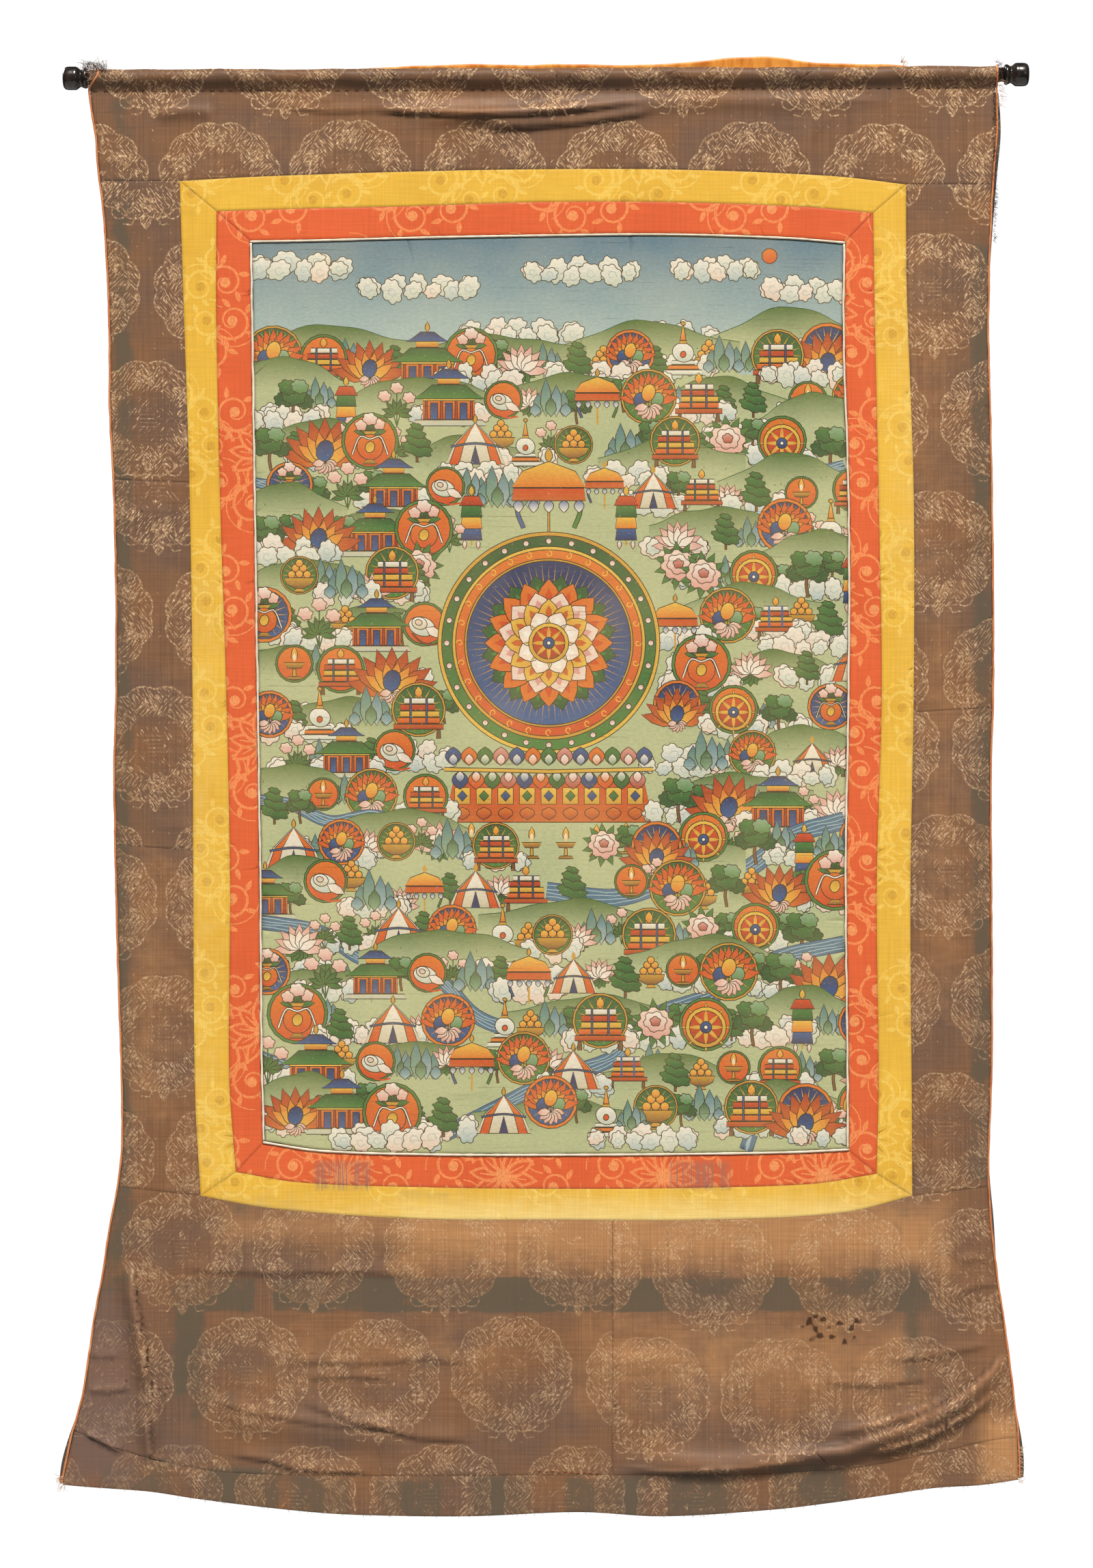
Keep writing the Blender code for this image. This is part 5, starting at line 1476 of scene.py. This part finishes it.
pipingLook = {
    "step": 2.2,
    "uneven": 0.13,  # the cord inside is hand spun
    "wander": 0.22,
    "leanLeft": 9.0,  # over the sleeve's left end the piping leans inwards
    "orange": "c76e3f", "orangeLight": "dd9763", "cream": "ddcdb4", "creamLight": "f4e9d8",
}


def wavering(count, pitch, amount):  # a smooth random line
    knots = max(4, int(count / pitch) + 3)
    values = [chance.uniform(-amount, amount) for _ in range(knots)]
    return through(list(zip(range(knots), values)), 1, np.linspace(0, knots - 1.001, count))


def cordRun(places, radius, behind=0.0):
    count = len(places)
    space = lift(places, behind)
    space[:, 0] += wavering(count, 5, pipingLook["wander"]) * mm
    radii = radius * (1 + wavering(count, 2.2, pipingLook["uneven"]))
    return space, radii


def makePipings():
    orange = simpleWeave("orange silk, cut on the bias and wrapped round a cord", pipingLook["orange"],
                         pipingLook["orangeLight"], 0.5, 900, sheen=0.2)
    cream = simpleWeave("cream cotton piping, plain woven", pipingLook["cream"], pipingLook["creamLight"],
                        0.85, 900, sheen=0.15)
    radius = hanging["pipingRadius"]
    for side in ("left", "right"):
        line = longEdge(side, 0.0, 1.0, radius)
        top = line([sleeve["stitchDown"]])[0, 0]
        upper = stitchingDown(top) - (sleeveLength - sleeve["flap"])
        downs = np.arange(upper, hanging["edgeSeams"][side][-1], pipingLook["step"])
        places = line(np.maximum(downs, sleeve["stitchDown"]))
        places[:, 1] = downs
        if side == "left":
            places[:, 0] += pipingLook["leanLeft"] * ease((sleeve["stitchDown"] + 3 - downs) / 20)
        mesh = tubeMesh(f"side_piping_{side}_silk", [cordRun(places, radius)], 10)
        addPiece(mesh.name, mesh, orange, (f"side_piping_{side}",))
    middle = hanging["creamRadius"] + 0.3
    moves = {"top": (0, middle), "bottom": (0, -middle), "left": (middle, 0), "right": (-middle, 0)}
    for side, move in moves.items():
        line = border("cream", side)
        length = np.hypot(*(line([1.0]) - line([0.0]))[0])
        stop = (2 * middle if side in ("left", "right") else 0.3) / length
        places = line(np.linspace(stop, 1 - stop, round(length / pipingLook["step"]))) + move
        run = cordRun(places, hanging["creamRadius"], -hanging["creamProud"])
        mesh = tubeMesh(f"cream_piping_{side}_cotton", [run], 8)
        addPiece(mesh.name, mesh, cream, (f"cream_piping_{side}",))


makePipings()
print("pipings")


turning = {
    "rodRadius": 6.2, "rodEnds": (-403.3, 402.3), "knobLength": 21.0, "knobFlat": 6.0, "gap": 0.3,
    # along from the rod, radius
    "knob": (
        (0.0, 8.3), (0.6, 8.8), (2.2, 8.9), (4.2, 7.7), (5.6, 7.4), (7.2, 8.5), (9.4, 10.0), (12.6, 10.2),
        (17.0, 10.1), (19.4, 9.3), (20.6, 7.9),
    ),
    "black": "1d1a1a", "brown": "3c2c22",
}


def makeWood():
    # hardwood, turned, stained black and rubbed with wax: even dark gloss, browner where it is worn
    mat, tree, shader = startMaterial("hardwood, turned, stained and waxed", 0.26, specular=0.5, coat=0.35)
    place = add(tree, "Mapping", {0: add(tree, "TexCoord", give="Object"), "Scale": (60, 900, 900)})
    grain = add(tree, "TexNoise", {"Vector": place, "Scale": 1.0, "Detail": 5.0})
    bare = add(tree, "TexCoord", give="Object")
    wear = add(tree, "TexNoise", {"Vector": bare, "Scale": 160.0, "Detail": 6.0})
    share = add(tree, "Math", [grain, wear], operation="MULTIPLY")
    worn = add(tree, "MapRange", [share, 0.24, 0.42])
    finishMaterial(tree, shader, turning["black"], [([worn], turning["brown"])],
                   add(tree, "MapRange", [wear, 0.35, 0.7, 0.2, 0.42]), grain, (0.12, 0.2))
    return mat


def turnedMesh(name, profile, start, towards, sides=56):  # rings round the rod's axis
    tilt = math.tan(hanging["rodTilt"])
    rows = []
    for along, radius in profile:
        x = start + towards * along
        angles = np.linspace(0, 2 * math.pi, sides, endpoint=False) * towards
        rows.append([(x * mm, radius * math.cos(a) * mm, (radius * math.sin(a) + x * tilt) * mm)
                     for a in angles])
    return gridMesh(name, rows, closedAcross=True)


def makeRod():
    wood = makeWood()
    start, end = turning["rodEnds"]
    radius = turning["rodRadius"]
    handCut = [(s * (end - start), radius + 0.05 * math.sin(40 * s)) for s in np.linspace(0, 1, 60)]
    profile = [(0, 0.01), (0, radius), *handCut, (end - start, 0.01)]
    addPiece("rod_turned", turnedMesh("rod_turned", profile, start, 1, 40), wood, ("rod",))
    alongs = np.linspace(0, turning["knob"][-1][0], 60)
    profile = [(0, 0.01), *zip(alongs, through(turning["knob"], 1, alongs))]
    length, flat = turning["knobLength"], turning["knobFlat"]
    profile += [(length - 0.1, flat + 0.8), (length, flat), (length, 0.01)]
    for side, place, towards in (("left", start - turning["gap"], -1), ("right", end + turning["gap"], 1)):
        knob = turnedMesh(f"knob_{side}_turned", profile, place, towards)
        addPiece(knob.name, knob, wood, (f"knob_{side}",))


makeRod()
print("rod and knobs")


backing = {
    # down, past the left edge, past the right edge
    "edge": (
        (15, -0.6, 0.6), (60, -0.6, 3), (110, -0.6, 2), (200, -0.6, -0.6), (940, -0.6, -0.6),
        (1000, -0.6, 2), (1060, -0.6, -0.6), (1170, 0, 0), (1215, 3, 3.5), (1236, 1.5, 2.5),
    ),
    "flat": (0.845, 1.25), "area": 0.985,  # metres and square metres
    "start": 15.8, "short": 1.5, "behind": 1.75, "slack": (0.8, 2.2), "sewn": 45.0,
    "columns": 164, "rows": 250,
    "pull": 1.5, "pullWidth": 6.5,  # the stitching round the borders draws it to the front
    "dark": "4a4340", "light": "695d56", "print": "978772", "printPitch": 21.0,
    "noises": {"dust": (0.012, 0.012, 6.0, 0.5), "weave": (0.9, 0.9, 2.0, 0.5)},
}


def aroundBorder(name):  # the border's outer edge, once round
    runs = [(border(name, side), ends) for side, ends in (
        ("top", (0.0, 1.0)), ("right", (0.0, 1.0)), ("bottom", (1.0, 0.0)), ("left", (1.0, 0.0)))]
    return np.concatenate([line(np.linspace(*ends, 40)) for line, ends in runs])


def makeLining():
    # cotton, plain woven and block printed in a small two-tone print, dulled by dust
    mat, tree, shader = startMaterial("dark cotton lining, block printed", 0.88, specular=0.15, sheen=0.15)
    cells = add(tree, "Mapping", {0: add(tree, "UVMap", uv_map="cloth"),
                                  "Scale": (1 / backing["printPitch"], 1 / backing["printPitch"], 1)})
    near = add(tree, "TexVoronoi", {"Vector": cells, "Scale": 1.0, "Randomness": 0.1})
    dust, weave = clothNoises(tree, backing["noises"])
    ringOff = add(tree, "Math", [add(tree, "Math", [near, 0.19], operation="SUBTRACT")], operation="ABSOLUTE")
    spot = add(tree, "Math", [add(tree, "MapRange", [near, 0.09, 0.06]),
                              add(tree, "MapRange", [ringOff, 0.04, 0.02])], operation="MAXIMUM")
    thin = add(tree, "MapRange", [weave, 0.3, 0.6, 0.15, 0.6])  # the print is worn on the weave
    finishMaterial(tree, shader, backing["dark"], (
        ([add(tree, "MapRange", [dust, 0.3, 0.7, 0.15, 0.7])], backing["light"]),
        ([spot, thin], backing["print"]),
    ), height=weave)
    # the sheet: sewn in along its edges and slack between them
    v = np.linspace(0, 1, backing["rows"])
    u = np.linspace(0, 1, backing["columns"])
    foot = hanging["footEdge"]
    sewnLine = aroundBorder("yellow")
    space, flat = [], []
    for share in v:
        sideDowns = [backing["start"] + (row[1] - backing["short"] - backing["start"]) * share
                     for row in (foot[0], foot[-1])]
        edges = []
        for column, outward, down in ((1, -1, sideDowns[0]), (2, 1, sideDowns[1])):
            past = through(backing["edge"], column, np.array([min(down, 1236.0)]))[0]
            edges.append(through(hanging["outline"], column, np.array([down]))[0] + outward * past)
        across = edges[0] + (edges[1] - edges[0]) * u
        low = through(foot, 1, across) - backing["short"]
        high = backing["start"] - across * math.tan(hanging["rodTilt"])
        places = np.stack([across, high + (low - high) * share], 1)
        toSide = np.minimum(across - across[0], across[-1] - across)
        toEnd = np.minimum(places[:, 1] - backing["start"], low - places[:, 1])
        inside = ease(toSide / backing["sewn"]) * ease(toEnd / backing["sewn"])
        atEdge, within = backing["slack"]
        slack = atEdge * ease((places[:, 1] - backing["start"]) / backing["sewn"])
        slack += (within - atEdge) * inside
        bag = 1.1 * np.sin(across * 0.021 + 1.4) * np.sin(places[:, 1] * 0.013 + across * 0.006)
        bag += 0.5 * np.sin(across * 0.05 + places[:, 1] * 0.024)
        crooked = across * 0.036 + 1.3 * np.sin(places[:, 1] * 0.0052)
        bag += 1.1 * np.sin(crooked) * np.sin(places[:, 1] * 0.0031 + 0.5)
        y = backing["behind"] + slack - hanging["layer"] - relief(places, False) + (1.3 + bag) * inside
        y -= backing["pull"] * np.exp(-((alongLine(places, sewnLine, 20.0)[0] / backing["pullWidth"]) ** 2))
        space.append(np.stack([across, y, -places[:, 1]], 1) * mm)
        flat.append(places)
    mesh = gridMesh("lining_cotton", space)
    mesh.flip_normals()
    uv = mesh.uv_layers.new(name="cloth")
    places = np.concatenate(flat)
    loops = np.empty(len(mesh.loops), int)
    mesh.loops.foreach_get("vertex_index", loops)
    uv.data.foreach_set("uv", places[loops].astype(np.float32).ravel())
    piece = addPiece("lining_cotton", mesh, mat, ("lining",))
    return BVHTree.FromPolygons([v.co for v in mesh.vertices], [tuple(p.vertices) for p in mesh.polygons])


veilShape = {
    # across, height of its wavy top
    "top": (
        (-205, 7.4), (-168, 8.4), (-114, 11), (-66, 12.5), (-18, 12), (30, 12.5), (78, 12), (126, 14.5),
        (174, 19), (198, 18.5), (246, 13.5), (294, 12.5), (316, 11),
    ),
    # distance behind the axis, height
    "section": ((8.9, 0.0), (8.6, -8.0), (7.6, -20.0), (7.0, -38.0), (7.2, -58.0)),
    "flat": (0.521, 0.082), "area": 0.0375,  # metres and square metres
    "foldPitch": 61.0, "foldRise": 1.4,
    "columns": 260, "hem": 2.0,
    "deep": "c9741f", "light": "f0a448",
}


def makeVeil():
    # thin silk, plain woven: soft gloss, and paler in long upright streaks
    mat, tree, shader = startMaterial("thin orange silk veil, plain woven", 0.48, specular=0.3, sheen=0.2)
    place = add(tree, "TexCoord", give="Object")
    folds = add(tree, "TexNoise", {"Vector": add(tree, "Mapping", {0: place, "Scale": (140, 140, 30)}),
                                   "Scale": 1.0, "Detail": 3.0})
    pale = add(tree, "MapRange", [folds, 0.35, 0.65])
    finishMaterial(tree, shader, veilShape["deep"], [([pale], veilShape["light"])], height=folds,
                   bump=(0.3, 0.5))
    top = veilShape["top"]
    across = np.linspace(top[0][0], top[-1][0], veilShape["columns"])
    rodUp = across * math.tan(hanging["rodTilt"])
    height = through(top, 1, across) - rodUp + wavering(len(across), 9, 0.45)
    waves = np.sin(2 * math.pi * across / veilShape["foldPitch"] + wavering(len(across), 22, 0.9))
    fine = wavering(len(across), 5, 0.35)
    rows = []
    hem = veilShape["hem"]
    behind = veilShape["section"][0][0]
    for y, z in ((behind + 1.1, height - hem), (behind + 0.6, height - 0.3), (behind + 0.1, height),
                 (behind - 0.4, height - 0.4), (behind - 0.5, height - hem)):
        rows.append(np.stack([across, np.full(len(across), y) + fine, z + rodUp], 1) * mm)
    for share in (0.7, 0.45, 0.2):
        rows.append(np.stack([across, behind + fine * share + 0.25 * waves, share * height + rodUp], 1) * mm)
    downs = np.linspace(0, veilShape["section"][-1][1], 22)
    for z in downs:
        back = np.interp(-z, *zip(*((-height, behind) for behind, height in veilShape["section"])))
        loose = z / downs[-1]
        y = back + veilShape["foldRise"] * loose * (1 + waves) + fine * (0.3 + 0.7 * loose)
        ends = z + rodUp + 0.8 * waves * loose
        rows.append(np.stack([across, y, ends], 1) * mm)
    mesh = gridMesh("veil_silk", rows)
    piece = addPiece("veil_silk", mesh, mat, ("veil",))


liningSurface = makeLining()
makeVeil()
print("lining and veil")


frays = {
    # place in space, how far around it fibres start, main direction, length, count, curl, colour
    "left_sleeve": ((-397, -2, 6), (10, 6, 4), (-0.2, -0.3, 1.0), 8, 190, 1.0, "brown"),
    "left_corner": ((-402, -2, -4), (3, 4, 7), (-1.0, -0.4, 0.1), 6, 70, 0.7, "brown"),
    "left_curls": ((-399, -5, 2), (5, 3, 6), (-0.4, -0.8, -0.3), 8, 22, 1.2, "pale"),
    "right_sleeve": ((396, -2, 4), (3, 6, 8), (1.0, -0.2, 0.2), 6, 60, 0.8, "brown"),
    "right_threads": ((397, -3, -14), (2, 2, 14), (0.9, -0.4, -0.5), 9, 26, 1.0, "pale"),
    "right_lining": ((393.5, 0.5, -72), (1.5, 1, 50), (1.0, 0, -0.1), 4, 150, 0.6, "blue"),
    "right_edge": ((393, -1.5, -80), (1.2, 1, 66), (1.0, -0.3, 0.1), 3.6, 190, 0.6, "brown"),
    "left_foot": ((-425, -10, -1233), (3, 2, 6), (-0.8, -0.2, -0.8), 7, 40, 0.8, "pale"),
    "right_foot": ((414, -12, -1218), (2, 2, 16), (0.9, -0.2, -0.2), 4.5, 90, 0.8, "pale"),
    "veil_end": ((314, 9, 9), (2, 1, 6), (1.0, 0, 0.5), 8, 30, 0.7, "orange"),
    "foot_hem": ((0, 0, 0), (0, 0, 0), (0.2, -0.2, -1), 3.2, 130, 0.6, "hem"),
}
fibres = {  # dark and light end of the colour, and the slot of the cloth they come from
    "brown": ("3d2c22", "7a5a44", "brocade"), "pale": ("b98a66", "e6c9a6", "orange_silk"),
    "blue": ("535a63", "8b8f90", "lining"), "orange": ("c8752a", "f0a75a", "orange_silk"),
    "hem": ("6b5140", "a98764", "brocade"),
}
stitching = {
    "sleevePitch": 8.5, "sleeveLong": 4.2, "radius": 0.24,
    "repair": ((-6, 1226.5), (50, 1227.5)), "repairPitch": 5.6,
    "backPitch": 11.0, "backLong": 5.0,
    # name, colours, roughness, share of the radius, sides, slot
    "threads": {
        "sleeve": ("waxed linen thread, twisted", "3a261c", "5a4030", 0.6, 1.0, 6, "brocade"),
        "repair": ("rust red mending thread, twisted", "6e2d1d", "8e4227", 0.6, 1.2, 6, "brocade"),
        "back": ("unbleached cotton thread, twisted", "8f7f6a", "b8a88e", 0.7, 1.8, 5, "lining"),
    },
}


def makeFrays():
    mats = {kind: simpleWeave(f"{kind} silk and cotton threads, frayed", low, high, 0.7, 400, sheen=0.2)
            for kind, (low, high, _) in fibres.items()}
    for name, (place, spread, direction, length, count, curl, kind) in frays.items():
        runs = []
        for _ in range(count):
            start = np.array([place[i] + chance.uniform(-1, 1) * spread[i] for i in range(3)])
            if kind == "hem":
                x = chance.uniform(-418, 408)
                flat = np.array([[x, through(hanging["footEdge"], 1, np.array([x]))[0] - 0.6]])
                start = lift(flat)[0] / mm
            heading = np.array(direction) + np.array([chance.gauss(0, 0.45) for _ in range(3)])
            heading /= np.linalg.norm(heading)
            turn = np.cross(heading, [chance.gauss(0, 1) for _ in range(3)])
            turn /= max(np.linalg.norm(turn), 1e-6)
            size = length * chance.uniform(0.35, 1.1)
            bend = curl * chance.uniform(-1.6, 1.6)
            points = []
            for s in np.linspace(0, 1, 8):
                a = bend * s * 1.6
                points.append(start + size * (s * heading * math.cos(a * 0.6) + turn * s * math.sin(a) * 0.8))
            radius = chance.uniform(0.14, 0.3)
            runs.append((np.array(points) * mm, np.linspace(radius, 0.05, 8)))
        mesh = tubeMesh(f"frayed_{name}", runs, 4)
        addPiece(mesh.name, mesh, mats[kind])


def makeStitches():
    def onFront(places, behind):  # a stitch on the face of the cloth, with both ends going in
        space = lift(np.array(places), behind)
        space[[0, -1], 1] += 0.5 * mm
        return space

    runs = {"sleeve": [], "repair": [], "back": []}
    for x in np.arange(-396, 391, stitching["sleevePitch"]):
        x += chance.uniform(-0.6, 0.6)
        half = stitching["sleeveLong"] / 2 * chance.uniform(0.8, 1.1)
        runs["sleeve"].append(onFront([(x + s * half, stitchingDown(x) + 0.8 + chance.uniform(-0.2, 0.2))
                                       for s in (-1, -0.5, 0, 0.5, 1)], -0.35))
    (x0, z0), (x1, z1) = stitching["repair"]
    for x in np.arange(x0, x1, stitching["repairPitch"]):
        z = z0 + (z1 - z0) * (x - x0) / (x1 - x0) + chance.uniform(-0.5, 0.5)
        runs["repair"].append(onFront([(x + s * 1.5, z + s * chance.uniform(-0.5, 0.5))
                                       for s in (-1, -0.4, 0.4, 1)], -0.3))
    # running stitches on the lining, where the borders are sewn through
    for name in ("yellow", "cream"):
        line = aroundBorder(name)
        steps = np.concatenate([[0], np.cumsum(np.hypot(*(line[1:] - line[:-1]).T))])
        for middle in np.arange(6, steps[-1] - 6, stitching["backPitch"]):
            run = middle + np.linspace(-0.5, 0.5, 4) * stitching["backLong"] * chance.uniform(0.7, 1.1)
            at = np.stack([np.interp(run, steps, line[:, i]) for i in (0, 1)], 1)
            found = [liningSurface.ray_cast((x * mm, 0.2, -z * mm), (0, -1, 0))[0] for x, z in at]
            runs["back"].append(np.array(found) + [(0, lie * mm, 0) for lie in (-0.3, 0.25, 0.25, -0.3)])
    for place, (thread, dark, light, roughness, thick, sides, slotName) in stitching["threads"].items():
        radius = stitching["radius"] * thick
        mesh = tubeMesh(f"stitches_{place}", [(run, radius) for run in runs[place]], sides)
        addPiece(mesh.name, mesh, simpleWeave(thread, dark, light, roughness, 1500))


makeFrays()
makeStitches()
print("frayed ends and stitches")
